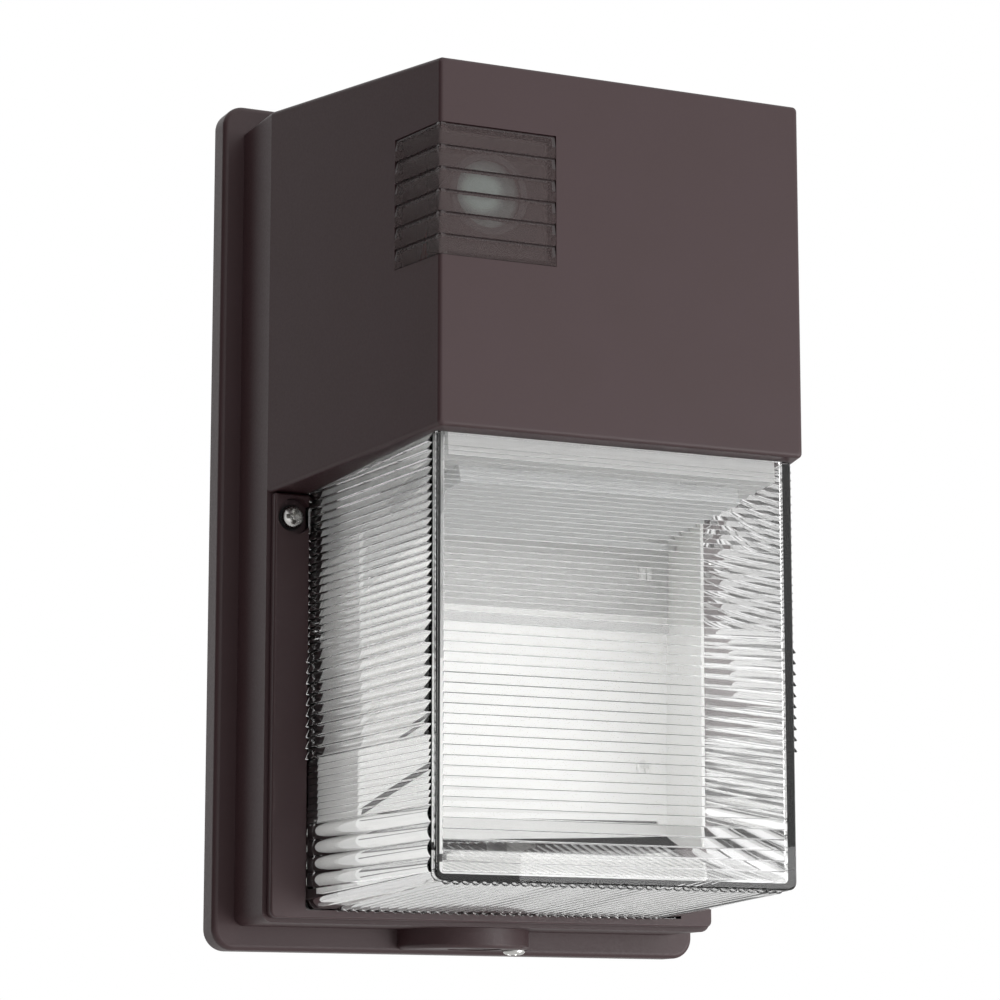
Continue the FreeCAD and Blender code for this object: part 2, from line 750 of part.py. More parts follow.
def hook():
    low = hook_bottom
    seat = inner_bottom + hook_gap
    front = frame_rear + 1.7
    drop = inner_bottom - hook_drop + 0.4
    rear = frame_rear - hook_reach
    points = [(front, low), (rim_front + 0.3, low), (rim_front + 0.3, seat),
              (rear + hook_thickness, seat), (rear + hook_thickness, drop), (rear, drop),
              (rear, seat + hook_thickness + 0.4), (frame_rear, seat + hook_thickness + 0.4),
              (frame_rear, lens_rear_bottom - lens_gap), (front, lens_rear_bottom - lens_gap)]
    return side_profile(points, hook_offset - hook_width / 2, hook_offset + hook_width / 2)


def make_lens_frame():
    top = box_bottom(frame_rear) - frame_top_gap
    frame = rounded_slab(frame_half, frame_bottom, top, tier_corner - frame_reveal, frame_rear, frame_front,
                         0.6)
    front_edges = [e for e in frame.Edges if e.BoundBox.YMax < -frame_front + 1e-6]
    frame = frame.makeFillet(0.8, front_edges)
    gap = lens_gap
    opening = plan_profile([(-lens_half(frame_rear - 1) - gap, frame_rear - 1),
                            (lens_half(frame_rear - 1) + gap, frame_rear - 1),
                            (lens_half(frame_front + 1) + gap, frame_front + 1),
                            (-lens_half(frame_front + 1) - gap, frame_front + 1)],
                           lens_rear_bottom - gap, half_height)
    rabbet_half = lens_half(frame_rear) + lens_lip + gap
    rabbet = block(-rabbet_half, rabbet_half, frame_rear - 1, lens_lip_front + lens_seal_thickness,
                   lens_rear_bottom - 1.8 - gap, lens_lip_top + gap)
    frame = frame.cut(opening).cut(rabbet)
    cup = rod_y(screw_offset, screw_height, pocket_radius + 1.2, floor_front - pocket_floor,
                frame_front - 0.8)
    cup = cup.common(block(lens_half(frame_front) + gap, inner_half - 0.4, 0, overall_depth, -100, top))
    frame = fuse_all(frame, both_sides(cup) + both_sides(hook()))
    pocket = rod_y(screw_offset, screw_height, pocket_radius, floor_front, frame_front + 1)
    hole = rod_y(screw_offset, screw_height, thread_radius + thread_clearance, 0, frame_front)
    for cutter in both_sides(pocket) + both_sides(hole):
        frame = frame.cut(cutter)
    for x, z in clip_places():
        frame = frame.cut(rod_y(x, z, small_screw, frame_rear - 1, frame_rear + 2.8))
    return frame


def clip_places():
    x = lens_half(frame_rear) + lens_lip + 3.2
    return [(side * x, z) for side in (-1, 1)
            for z in (lens_lip_top - clip_drop, lens_rear_bottom + clip_rise)]


def make_lens_clips():
    clips = []
    for x, z in clip_places():
        side = 1 if x > 0 else -1
        clip = block(x - side * 5.2, x + side * 3.2, frame_rear, frame_rear - 1.0, z - 5, z + 5)
        clips.append(clip.cut(rod_y(x, z, small_screw + 0.1, 0, overall_depth)))
    return Part.makeCompound(clips)


def make_lens_clip_screws():
    one = screw(2.4, 1.5, small_screw - 0.05, 3.6)
    return Part.makeCompound([facing_rear(one, x, frame_rear - 1.0, z) for x, z in clip_places()])


def make_lens_gasket():
    outer = lens_half(frame_rear) + lens_lip - 0.4
    depth0, depth1 = lens_lip_front, lens_lip_front + lens_seal_thickness
    ring = block(-outer, outer, depth0, depth1, lens_rear_bottom - 1.6, lens_lip_top - 0.4)
    ring = ring.cut(block(-lens_half(frame_rear) - 0.6, lens_half(frame_rear) + 0.6, 0, overall_depth,
                          lens_rear_bottom - 0.6, half_height))
    for side in (-1, 1):
        ring = ring.cut(block(side * hook_offset - hook_width / 2 - 1, side * hook_offset + hook_width / 2 + 1,
                              0, overall_depth, -half_height, lens_rear_bottom))
    return ring


def make_door_gasket():
    half = frame_half - 0.3
    low = frame_bottom + 0.3
    ring = rounded_slab(half, low, box_rear_bottom - 2.0, tier_corner - frame_reveal, rim_front, frame_rear, 0.4)
    ring = ring.cut(rounded_slab(half - door_seal_width, low + door_seal_width, half_height,
                                 1.0, rim_front - 1, frame_rear + 1))
    for side in (-1, 1):
        ring = ring.cut(block(side * hook_offset - hook_width / 2 - 1, side * hook_offset + hook_width / 2 + 1,
                              0, overall_depth, -half_height, inner_bottom + 1))
    return ring


def make_door_screw():
    one = screw(head_radius, head_height, thread_radius, thread_length + washer_thickness)
    return facing_front(one, screw_offset, floor_front + washer_thickness, screw_height)


def make_screw_washers():
    ring = rod_y(screw_offset, screw_height, head_radius + 0.6, floor_front, floor_front + washer_thickness)
    ring = ring.cut(rod_y(screw_offset, screw_height, thread_radius + 0.3, 0, overall_depth))
    return Part.makeCompound(both_sides(ring))


def make_wall_gasket():
    inset = wall_seal_inset + 0.2
    outer = rounded_slab(half_width - inset, inset - half_height, half_height - inset,
                         flange_corner - inset, 0, wall_seal_depth)
    inset = wall_seal_inset + wall_seal_width - 0.2
    return outer.cut(rounded_slab(half_width - inset, inset - half_height, half_height - inset,
                                  flange_corner - inset, -1, wall_seal_depth + 1))


def slot_y(x, z, radius, length, depth0, depth1):
    reach = length / 2 - radius
    middle = block(x - reach, x + reach, depth0, depth1, z - radius, z + radius)
    ends = [rod_y(x + side * reach, z, radius, depth0, depth1) for side in (-1, 1)]
    return fuse_all(middle, ends)


def make_mounting_plate():
    t = plate_thickness
    plate = rounded_slab(plate_width / 2, -plate_height / 2, plate_height / 2, plate_corner, 0, t)
    arm = block(lock_screw_x - 6, lock_screw_x + 6, 0, t, tab_height, -plate_height / 2 + 5)
    tab = block(lock_screw_x - 6, lock_screw_x + 6, 0, lock_screw_depth + 6, tab_height, tab_height + t)
    added = [arm, tab]
    for x in (-hook_tab_offset, hook_tab_offset):
        half = hook_tab_width / 2
        lip_rear = flange_depth + hook_slack
        added.append(block(x - half, x + half, 0, lip_rear + t, hook_tab_seat - t, hook_tab_seat))
        added.append(block(x - half, x + half, lip_rear, lip_rear + t, hook_tab_seat - t,
                           hook_tab_seat + hook_tab_lip))
    plate = fuse_all(plate, added)
    plate = plate.cut(rod_y(0, 0, supply_radius, -1, t + 1))
    for side in (-1, 1):
        plate = plate.cut(slot_y(side * box_slot_spacing / 2, 0, box_slot_radius, box_slot_length, -1, t + 1))
        for up in (-1, 1):
            plate = plate.cut(rod_y(side * wall_hole_spacing_x / 2, up * wall_hole_spacing_z / 2,
                                    wall_hole_radius, -1, t + 1))
        reach = hook_tab_width / 2 + 1
        window = block(side * hook_tab_offset - reach, side * hook_tab_offset + reach, -1, t + 1,
                       hook_tab_seat, hook_tab_seat + flange_depth + hook_tab_lip + t)
        plate = plate.cut(window)
    return plate.cut(rod_z(lock_screw_x, lock_screw_depth, thread_radius + 0.3, tab_height - 1,
                           tab_height + t + 1))


def make_plate_nut():
    low = tab_height + plate_thickness
    nut = Part.Face(Part.makePolygon([
        point(lock_screw_x + 4 * math.cos(math.radians(60 * i)),
              lock_screw_depth + 4 * math.sin(math.radians(60 * i)), low) for i in range(7)]))
    nut = nut.extrude(FreeCAD.Vector(0, 0, nut_depth))
    return nut.cut(rod_z(lock_screw_x, lock_screw_depth, thread_radius + 0.3, low - 1, low + 5))


def make_lock_screw():
    seat = hub_bottom + head_height * 0.3
    length = tab_height + plate_thickness + 4.5 - seat
    body = screw(head_radius, head_height, thread_radius, length)
    return facing_down(body, lock_screw_x, lock_screw_depth, seat)


def make_wire_grommet():
    inner = supply_radius - grommet_wall
    wall_rear = flange_depth - back_wall
    body = rod_y(0, 0, supply_radius - 0.05, wall_rear - 1.5, flange_depth + 1.5)
    lips = rod_y(0, 0, supply_radius + 2, flange_depth, flange_depth + 1.5)
    rear = rod_y(0, 0, supply_radius + 2, wall_rear - 1.5, wall_rear)
    return body.fuse(lips).fuse(rear).cut(rod_y(0, 0, inner, 0, overall_depth)).removeSplitter()


def make_conduit_plug():
    low = hub_bottom
    top = inner_bottom + conduit_boss_rise
    body = rod_z(0, conduit_centre, conduit_radius - plug_clearance, low + plug_flange, top)
    body = body.cut(rod_z(0, conduit_centre, conduit_radius * 0.72, low + plug_flange + 3, top + 1))
    head = rod_z(0, conduit_centre, conduit_radius - plug_clearance, low + 0.4, low + plug_flange)
    slot = block(-conduit_radius * 0.6, conduit_radius * 0.6, conduit_centre - plug_slot / 2,
                 conduit_centre + plug_slot / 2, low - 1, low + 0.4 + plug_slot)
    ring = rod_z(0, conduit_centre, conduit_radius, low + 5.0, low + 6.6)
    ring = ring.cut(rod_z(0, conduit_centre, conduit_radius - 1.1, low, low + 8))
    return body.fuse(head).removeSplitter().cut(slot).cut(ring)


def make_plug_ring():
    low = hub_bottom
    ring = rod_z(0, conduit_centre, conduit_radius - plug_clearance, low + 5.1, low + 6.5)
    return ring.cut(rod_z(0, conduit_centre, conduit_radius - 1.05, low, low + 8))


def make_led_tray():
    t = tray_thickness
    front, rear = tray_front, panel_front + t
    lift = t / math.cos(tray_slope)
    slope = math.tan(tray_slope)
    inner_front = front - t
    points = [(front, tray_lip_top), (front, tray_front_height), (rear, tray_rear_height),
              (rear, tray_rear_height - tray_flange), (rear - t, tray_rear_height - tray_flange),
              (rear - t, tray_rear_height + lift - t * slope),
              (inner_front, tray_front_height + lift - t * slope), (inner_front, tray_lip_top)]
    tray = side_profile(points, -box_front_half, box_front_half)
    plan = [(-tray_half(front), front), (tray_half(front), front),
            (tray_half(rear - t), rear - t), (-tray_half(rear - t), rear - t)]
    tray = tray.common(plan_profile(plan, -half_height, half_height))
    side = side_profile([(front, tray_front_height), (rear - t, tray_rear_height - t * slope),
                         (rear - t, tray_side_top), (front, tray_side_top)], 0, box_front_half)
    side = side.common(plan_profile([(tray_half(front) - t, front), (tray_half(front), front),
                                     (tray_half(rear - t), rear - t), (tray_half(rear - t) - t, rear - t)],
                                    -half_height, half_height))
    tray = fuse_all(tray, both_sides(side))
    for x in (-tray_screw_x, tray_screw_x):
        tray = tray.cut(rod_y(x, tray_screw_z, small_screw + 0.2, inner_front - 2, front + 2))
    for x in (-standoff_x, standoff_x):
        tray = tray.cut(rod_y(x, standoff_top, small_screw + 0.2, 0, rear + 2))
    for x, y in board_screw_places():
        tray = tray.cut(on_tray(Part.makeCylinder(small_screw + 0.2, 4 * t, FreeCAD.Vector(x, y, -t))))
    for x in (-lead_hole_offset, lead_hole_offset):
        across = -board_length / 2 - lead_hole_margin
        hole = Part.makeCylinder(wire_diameter / 2 + 0.8, 6 * t, FreeCAD.Vector(x, across, -2 * t))
        tray = tray.cut(on_tray(hole))
    for x, y, outward in cover_tab_places():
        tray = tray.cut(on_tray(cover_tab(x, y, outward, cover_tab_fit)))
    return tray


def cover_ends():
    """The cover's two ends along the slope, in the tray's flat frame."""
    return -board_length / 2 - cover_lead_room, board_length / 2 + cover_margin


def cover_tab_places():
    front, rear = cover_ends()
    return [(x, y, outward) for x in (-cover_tab_offset, cover_tab_offset)
            for y, outward in ((front + cover_wall / 2, -1), (rear - cover_wall / 2, 1))]


def cover_tab(x, y, outward, fit=0.0):
    """A snap tab through the tray, with the room that its barb needs when fit is given."""
    half = cover_tab_width / 2 + fit
    reach = cover_wall / 2 + fit
    tab = Part.makeBox(2 * half, 2 * reach, tray_thickness + 2.0, FreeCAD.Vector(x - half, y - reach, 0))
    if fit:
        return tab.fuse(Part.makeBox(2 * half, cover_tab_barb, tray_thickness + 2.0, FreeCAD.Vector(
            x - half, y + (reach if outward > 0 else -reach - cover_tab_barb), 0)))
    barb = Part.makeBox(2 * half, cover_tab_barb + 0.3, 0.8, FreeCAD.Vector(
        x - half, y + (reach - 0.3 if outward > 0 else -reach - cover_tab_barb), tray_thickness + 0.15))
    return tab.fuse(barb)


def make_led_cover():
    half = board_width / 2 + cover_margin
    front, rear = cover_ends()
    wall = cover_wall
    cover = Part.makeBox(2 * half, rear - front, cover_depth, FreeCAD.Vector(-half, front, -cover_depth))
    hollow = Part.makeBox(2 * (half - wall), rear - front - 2 * wall, cover_depth,
                          FreeCAD.Vector(wall - half, front + wall, wall - cover_depth))
    cover = cover.cut(hollow)
    return on_tray(fuse_all(cover, [cover_tab(*place) for place in cover_tab_places()]))


def board_screw_places():
    x, y = board_width / 2 - 5, board_length / 2 - 5
    return [(i * x, j * y) for i in (-1, 1) for j in (-1, 1)]


def make_thermal_pad():
    pad = Part.makeBox(board_width - 2, board_length - 2, pad_thickness,
                       FreeCAD.Vector(1 - board_width / 2, 1 - board_length / 2, -pad_thickness))
    for x, y in board_screw_places():
        pad = pad.cut(Part.makeCylinder(small_screw + 0.6, 3, FreeCAD.Vector(x, y, -2)))
    return on_tray(pad)


def make_led_board():
    low = -pad_thickness - board_thickness
    board = Part.makeBox(board_width, board_length, board_thickness,
                         FreeCAD.Vector(-board_width / 2, -board_length / 2, low))
    for x, y in board_screw_places():
        board = board.cut(Part.makeCylinder(small_screw + 0.2, 4, FreeCAD.Vector(x, y, low - 1)))
    return on_tray(board)


def make_led_chips():
    low = -pad_thickness - board_thickness - chip_height
    chips = []
    for i in range(chip_columns):
        for j in range(chip_rows):
            x = (i - (chip_columns - 1) / 2) * chip_pitch_x
            y = (j - (chip_rows - 1) / 2) * chip_pitch_y
            corner = FreeCAD.Vector(x - chip_size / 2, y - chip_size / 2, low)
            chips.append(on_tray(Part.makeBox(chip_size, chip_size, chip_height, corner)))
    return Part.makeCompound(chips)


def make_led_board_screws():
    low = -pad_thickness - board_thickness
    one = screw(2.8, 1.8, small_screw, pad_thickness + board_thickness + tray_thickness + 2)
    screws = []
    for x, y in board_screw_places():
        place = one.copy()
        turned = FreeCAD.Rotation(FreeCAD.Vector(1, 0, 0), 180)
        place.Placement = FreeCAD.Placement(FreeCAD.Vector(x, y, low), turned)
        screws.append(on_tray(place))
    return Part.makeCompound(screws)


def make_tray_screws():
    # the heads are behind the front lip, and the screws run forward into the bosses of the box
    one = screw(2.8, 1.8, small_screw - 0.05, tray_thickness + 4)
    return Part.makeCompound([facing_rear(one, x, tray_front - tray_thickness, tray_screw_z)
                              for x in (-tray_screw_x, tray_screw_x)])


def reflector_side():
    """Right side wall: beside the lens wall, under the sloping tray and in front of its flange."""
    gap = panel_side_gap
    rise = math.tan(tray_slope)
    seat = panel_front + tray_thickness
    start, end = seat + gap, panel_front + panel_side_depth
    low, high = (lens_bottom(d) + lens_wall + skirt_clearance for d in (panel_front, end))
    step = tray_rear_height - tray_flange - gap
    top, front_top = (tray_rear_height + (d - seat) * rise - gap for d in (start, end))
    side = side_profile([(panel_front - panel_thickness, low), (end, high), (end, front_top), (start, top),
                         (start, step), (panel_front - panel_thickness, step)], 0, box_front_half)
    out, out_front = (lens_half(d) - lens_wall - panel_gap for d in (panel_front, end))
    t = panel_thickness
    plan = [(out - t, panel_front - t), (out, panel_front - t), (out, panel_front), (out_front, end),
            (out_front - t, end), (out - t, panel_front)]
    return side.common(plan_profile(plan, -half_height, half_height))


def make_reflector():
    rear = panel_front - panel_thickness
    top = tray_rear_height - panel_side_gap
    skirt_bottom = lens_rear_bottom + lens_wall + skirt_clearance
    panel = block(-panel_half, panel_half, rear, panel_front, skirt_bottom, top)
    panel = panel.cut(block(skirt_web - panel_half, panel_half - skirt_web, 0, overall_depth,
                            panel_bottom - skirt_slot, panel_bottom))
    panel = fuse_all(panel, both_sides(reflector_side()))
    for x in (-standoff_x, standoff_x):
        for z in (standoff_top, standoff_bottom):
            panel = panel.cut(rod_y(x, z, small_screw + 0.2, 0, overall_depth))
    return panel


def make_reflector_screws():
    upper = screw(2.8, 1.8, small_screw - 0.05, tray_thickness + panel_thickness + screw_grip)
    lower = screw(2.8, 1.8, small_screw - 0.05, panel_thickness + screw_grip)
    screws = []
    for x in (-standoff_x, standoff_x):
        screws.append(facing_front(upper, x, panel_front + tray_thickness, standoff_top))
        screws.append(facing_front(lower, x, panel_front, standoff_bottom))
    return Part.makeCompound(screws)


def make_driver_case():
    half = driver_width / 2
    front = driver_rear + driver_depth
    w = driver_wall
    case = block(-half, half, driver_rear, front - w, driver_bottom, driver_top)
    case = case.cut(block(-half + w, half - w, driver_rear + w, front, driver_bottom + w, driver_top - w))
    ears = [block(-8, 8, driver_rear, driver_rear + ear_thickness, driver_bottom - ear_length, driver_bottom + 1),
            block(-8, 8, driver_rear, driver_rear + ear_thickness, driver_top - 1, driver_top + ear_length)]
    case = fuse_all(case, [e.cut(block(-half + w, half - w, driver_rear + w, front, driver_bottom + w,
                                       driver_top - w)) for e in ears])
    for z in (driver_bottom - ear_length / 2, driver_top + ear_length / 2):
        case = case.cut(rod_y(0, z, small_screw + 0.3, 0, front))
    for x in lead_exits():
        case = case.cut(rod_z(x, lead_depth, wire_diameter / 2 + 0.2,
                              driver_bottom - 1, driver_bottom + w + 1))
    return case


def lead_exits():
    return [-22.0, -16.0, 16.0, 22.0]


def make_driver_lid():
    half = driver_width / 2
    front = driver_rear + driver_depth
    w = driver_wall
    lid = block(-half, half, front - w, front, driver_bottom, driver_top)
    lip = block(-half + w + 0.2, half - w - 0.2, front - w - 2, front - w + 0.1, driver_bottom + w + 0.2,
                driver_top - w - 0.2)
    lip = lip.cut(block(-half + 2 * w, half - 2 * w, 0, front - w, driver_bottom + 2 * w, driver_top - 2 * w))
    return lid.fuse(lip).removeSplitter()


def make_driver_board():
    half = driver_width / 2 - driver_wall - 0.5
    rear = driver_rear + driver_wall + board_stand
    board = block(-half, half, rear, rear + board_thickness, driver_bottom + driver_board_margin,
                  driver_top - driver_board_margin)
    feet = [rod_y(x, z, 2.5, driver_rear + driver_wall, rear + 0.1)
            for x in (-half + 5, half - 5) for z in (driver_bottom + 9, driver_top - 9)]
    return fuse_all(board, feet)


def make_driver_parts():
    seat = driver_rear + driver_wall + board_stand + board_thickness
    width, depth, height = transformer_size
    top = driver_top - transformer_drop
    parts = [block(-width / 2, width / 2, seat, seat + depth, top - height, top)]
    for (x, radius, tall), drop in ((large_capacitor, large_capacitor_drop),
                                    (small_capacitor, small_capacitor_drop)):
        parts.append(rod_y(x, driver_top - drop, radius, seat, seat + tall))
    for x, (width, depth, height), rise in zip(terminal_x, terminal_size, terminal_rise):
        low = driver_bottom + rise
        parts.append(block(x - width / 2, x + width / 2, seat, seat + depth, low, low + height))
    return Part.makeCompound(parts)


def make_driver_screws():
    one = screw(3.0, 1.9, small_screw - 0.05, ear_thickness + 2.6)
    return Part.makeCompound([facing_front(one, 0, driver_rear + ear_thickness, z)
                              for z in (driver_bottom - ear_length / 2, driver_top + ear_length / 2)])


def make_photocell_body():
    rear = cell_seat - cell_body_length
    body = rod_y(cell_x, cell_z, cell_body_radius, rear, cell_seat)
    stem = rod_y(cell_x, cell_z, cell_stem_radius, rear - cell_stem_length, rear)
    return body.fuse(stem).removeSplitter()


def make_photocell_rim():
    ring = rod_y(cell_x, cell_z, cell_rim_radius, cell_seat, cell_seat + cell_rim_depth)
    rim_face = 1e-6 - cell_seat - cell_rim_depth
    front = [e for e in ring.Edges if e.BoundBox.YMax < rim_face and e.BoundBox.XLength > 1]
    ring = ring.makeFillet(0.9, front)
    return ring.cut(rod_y(cell_x, cell_z, cell_dome_radius + 0.15, cell_seat + 0.8, overall_depth))


def make_photocell_dome():
    base = cell_seat + 0.8
    disc = rod_y(cell_x, cell_z, cell_dome_radius, base, base + 0.8)
    sphere_radius = (cell_dome_radius ** 2 + cell_dome_rise ** 2) / (2 * cell_dome_rise)
    centre = base + 0.8 + cell_dome_rise - sphere_radius
    ball = Part.makeSphere(sphere_radius, point(cell_x, centre, cell_z))
    cap = ball.common(rod_y(cell_x, cell_z, cell_dome_radius, base + 0.8, base + 5))
    return disc.fuse(cap).removeSplitter()


def make_photocell_nut():
    rear = bracket_depth - bracket_thickness
    centre = FreeCAD.Vector(cell_x, -rear, cell_z)
    reach = nut_flat / math.sqrt(3)
    corners = [centre + FreeCAD.Vector(reach * math.cos(math.radians(60 * i)), 0,
                                       reach * math.sin(math.radians(60 * i))) for i in range(7)]
    nut = Part.Face(Part.makePolygon(corners)).extrude(FreeCAD.Vector(0, nut_height, 0))
    return nut.cut(rod_y(cell_x, cell_z, cell_stem_radius + 0.05, 0, overall_depth))


def make_photocell_bracket():
    rear = bracket_depth - bracket_thickness
    plate = block(cell_x - 15, bracket_screw_x + 6, rear, bracket_depth, cell_z - 18, cell_z + 18)
    plate = plate.cut(rod_y(cell_x, cell_z, cell_stem_radius + 0.2, 0, overall_depth))
    for z in (cell_z - bracket_screw_rise, cell_z + bracket_screw_rise):
        plate = plate.cut(rod_y(bracket_screw_x, z, small_screw + 0.3, 0, overall_depth))
    return plate


def make_photocell_screws():
    one = screw(2.8, 1.8, small_screw - 0.05, bracket_thickness + 8)
    return Part.makeCompound([facing_rear(one, bracket_screw_x, bracket_depth - bracket_thickness, z)
                              for z in (cell_z - bracket_screw_rise, cell_z + bracket_screw_rise)])


def make_ground_screw():
    return facing_front(screw(3.2, 2.2, small_screw - 0.05, 5), ground_x, ground_seat + 1.2, ground_z)


def make_ground_lead():
    lug = rod_y(ground_x, ground_z, 3.8, ground_seat, ground_seat + 1.2)
    lug = lug.fuse(block(ground_x - 2, ground_x + 2, ground_seat, ground_seat + 1.2, ground_z - 9, ground_z - 2))
    lug = lug.cut(rod_y(ground_x, ground_z, small_screw + 0.2, 0, overall_depth)).removeSplitter()
    depth = ground_seat + 1.2 + wire_diameter / 2
    run = wire_run([(ground_x, depth, ground_z - 5), (ground_x, depth, ground_z - 22),
                    (ground_x - 12, depth + 3, ground_z - 34),
                    (connector_x[2], connector_depth, connector_top + connector_stretch),
                    (connector_x[2], connector_depth, connector_top)])
    return Part.makeCompound([lug, run])


def make_wire_connectors():
    caps = []
    for x in connector_x:
        cap = Part.makeCone(connector_radius * 0.72, connector_radius, connector_length,
                            point(x, connector_depth, connector_top - connector_length), FreeCAD.Vector(0, 0, 1))
        for side in (-1, 1):
            cap = cap.fuse(block(x + side * (connector_radius - 1.5), x + side * (connector_radius + 1.8),
                                 connector_depth - 0.8, connector_depth + 0.8, connector_top - 10, connector_top - 1))
        caps.append(cap.removeSplitter())
    return Part.makeCompound(caps)


def make_driver_input_leads():
    runs = []
    turn = driver_bottom - input_lead_drop
    for exit_x, target in zip(lead_exits()[:2], connector_x[:2]):
        x = target - wire_side_step
        runs.append(wire_run([(exit_x, lead_depth, driver_bottom + 9), (exit_x, lead_depth, turn),
                              (x, connector_depth + 4.5, turn - input_lead_step),
                              (x, connector_depth, connector_top + connector_stretch),
                              (x, connector_depth, connector_top)]))
    return Part.makeCompound(runs)


def make_led_leads():
    below = -pad_thickness - board_thickness - wire_diameter / 2
    across = -board_length / 2
    hole = across - lead_hole_margin
    turn = driver_bottom - led_lead_drop
    runs = []
    for exit_x, hole_x in zip(lead_exits()[2:], (-lead_hole_offset, lead_hole_offset)):
        ends = [on_tray(Part.Vertex(hole_x, y, z)).Point
                for y, z in ((hole, lead_plug_rise), (hole, below), (across + 3, below))]
        start = [(exit_x, lead_depth, driver_bottom + 9), (exit_x, lead_depth, turn),
                 (exit_x - 4, lead_depth + led_lead_reach, turn - led_lead_step)]
        runs.append(wire_run(start + [(e.x, -e.y, e.z) for e in ends]))
    return Part.makeCompound(runs)


def make_photocell_leads():
    rear = cell_seat - cell_body_length - cell_stem_length
    turn = cell_z - cell_lead_drop
    runs = []
    for i, target in enumerate(connector_x[:2]):
        x = cell_x + (i - 0.5) * 2 * (wire_diameter + wire_gap)
        end = target + wire_side_step
        runs.append(wire_run([(x, rear, cell_z), (x, rear - 14, cell_z), (x + 2, rear - 42, cell_z - 40),
                              (x + 4, connector_depth + 28.5, turn),
                              (end, connector_depth + 10.5, turn - cell_lead_step),
                              (end, connector_depth, connector_top + connector_stretch + 1),
                              (end, connector_depth, connector_top)]))
    return Part.makeCompound(runs)


makers = {
    "housing": make_housing,
    "wall_gasket": make_wall_gasket,
    "mounting_plate": make_mounting_plate,
    "plate_nut": make_plate_nut,
    "lock_screw": make_lock_screw,
    "wire_grommet": make_wire_grommet,
    "conduit_plug": make_conduit_plug,
    "plug_ring": make_plug_ring,
    "photocell_window": make_photocell_window,
    "window_gasket": make_window_gasket,
    "photocell_body": make_photocell_body,
    "photocell_rim": make_photocell_rim,
    "photocell_dome": make_photocell_dome,
    "photocell_nut": make_photocell_nut,
    "photocell_bracket": make_photocell_bracket,
    "photocell_screws": make_photocell_screws,
    "photocell_leads": make_photocell_leads,
    "lens_frame": make_lens_frame,
    "lens": make_lens,
    "lens_gasket": make_lens_gasket,
    "lens_clips": make_lens_clips,
    "lens_clip_screws": make_lens_clip_screws,
    "door_gasket": make_door_gasket,
    "door_screw_right": make_door_screw,
    "door_screw_left": lambda: mirrored(make_door_screw()),
    "screw_washers": make_screw_washers,
    "led_tray": make_led_tray,
    "tray_screws": make_tray_screws,
    "thermal_pad": make_thermal_pad,
    "led_board": make_led_board,
    "led_chips": make_led_chips,
    "led_board_screws": make_led_board_screws,
    "led_cover": make_led_cover,
    "led_leads": make_led_leads,
    "reflector": make_reflector,
    "reflector_screws": make_reflector_screws,
    "driver_case": make_driver_case,
    "driver_lid": make_driver_lid,
    "driver_board": make_driver_board,
    "driver_parts": make_driver_parts,
    "driver_screws": make_driver_screws,
    "driver_input_leads": make_driver_input_leads,
    "ground_screw": make_ground_screw,
    "ground_lead": make_ground_lead,
    "wire_connectors": make_wire_connectors,
}

os.makedirs("parts", exist_ok=True)
for name, maker in makers.items():
    shape = maker()
    if not shape.isValid():
        print("not valid:", name)
    shape.exportStep("parts/" + name + ".step")
    print(name, len(shape.Solids), round(shape.Volume / 1000, 2), "cm3")
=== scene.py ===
import json
import math

import bmesh
import bpy
import numpy as np
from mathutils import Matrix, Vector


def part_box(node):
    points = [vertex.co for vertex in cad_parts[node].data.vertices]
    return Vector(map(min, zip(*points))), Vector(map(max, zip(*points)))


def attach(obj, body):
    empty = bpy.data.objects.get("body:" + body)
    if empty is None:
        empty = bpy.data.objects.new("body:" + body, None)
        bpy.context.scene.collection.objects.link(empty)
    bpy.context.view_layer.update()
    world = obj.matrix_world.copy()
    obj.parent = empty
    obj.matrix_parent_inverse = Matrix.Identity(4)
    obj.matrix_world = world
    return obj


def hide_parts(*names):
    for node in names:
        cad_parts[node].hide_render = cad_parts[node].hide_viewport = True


# A bronze wall pack light with a corner photocell window and a ribbed drop lens.
# The scene is in metres: +Y into the wall, the light faces -Y, +Z is up. The shapes of the lens and the
# screws are in millimetres.

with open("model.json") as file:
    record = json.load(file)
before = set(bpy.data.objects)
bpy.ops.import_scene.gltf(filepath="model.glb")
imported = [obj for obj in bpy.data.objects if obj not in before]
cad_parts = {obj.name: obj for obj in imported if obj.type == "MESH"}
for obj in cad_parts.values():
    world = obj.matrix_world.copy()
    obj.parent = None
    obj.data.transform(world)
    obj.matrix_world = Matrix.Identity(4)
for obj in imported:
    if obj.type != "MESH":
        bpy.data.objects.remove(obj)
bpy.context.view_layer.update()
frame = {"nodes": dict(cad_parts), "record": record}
print("frame loaded:", len(frame["nodes"]), "nodes")


def toLinear(code):
    # each sRGB channel to linear: v / 12.92 below 0.04045, else ((v + 0.055) / 1.055) ^ 2.4
    channels = [int(code[i:i + 2], 16) / 255 for i in (1, 3, 5)]
    return [v / 12.92 if v <= 0.04045 else ((v + 0.055) / 1.055) ** 2.4 for v in channels] + [1.0]


def addNode(tree, kind, settings=None, links=None):
    # a node with its settings (input values or attributes) and the sockets that feed its inputs
    node = tree.nodes.new(kind)
    for key, value in (settings or {}).items():
        if isinstance(key, str) and hasattr(node, key):
            setattr(node, key, value)
        else:
            node.inputs[key].default_value = value
    for key, socket in (links or {}).items():
        tree.links.new(socket, node.inputs[key])
    return node


finishDefaults = {
    "metallic": 0.0, "ior": 1.5, "specular": 0.5, "coat": 0.0, "coatRoughness": 0.15, "transmission": 0.0,
    "grainMm": 0.6, "detail": 2.0, "grainRange": (0.3, 0.7), "stretch": (1, 1, 1),
    "cloudMm": 30.0, "cloudDetail": 3.0, "bumpMm": 0.01, "bumpStrength": 0.5,
    "seeThrough": None, "paintedHighlight": None, "paintedSlatShade": None,
}


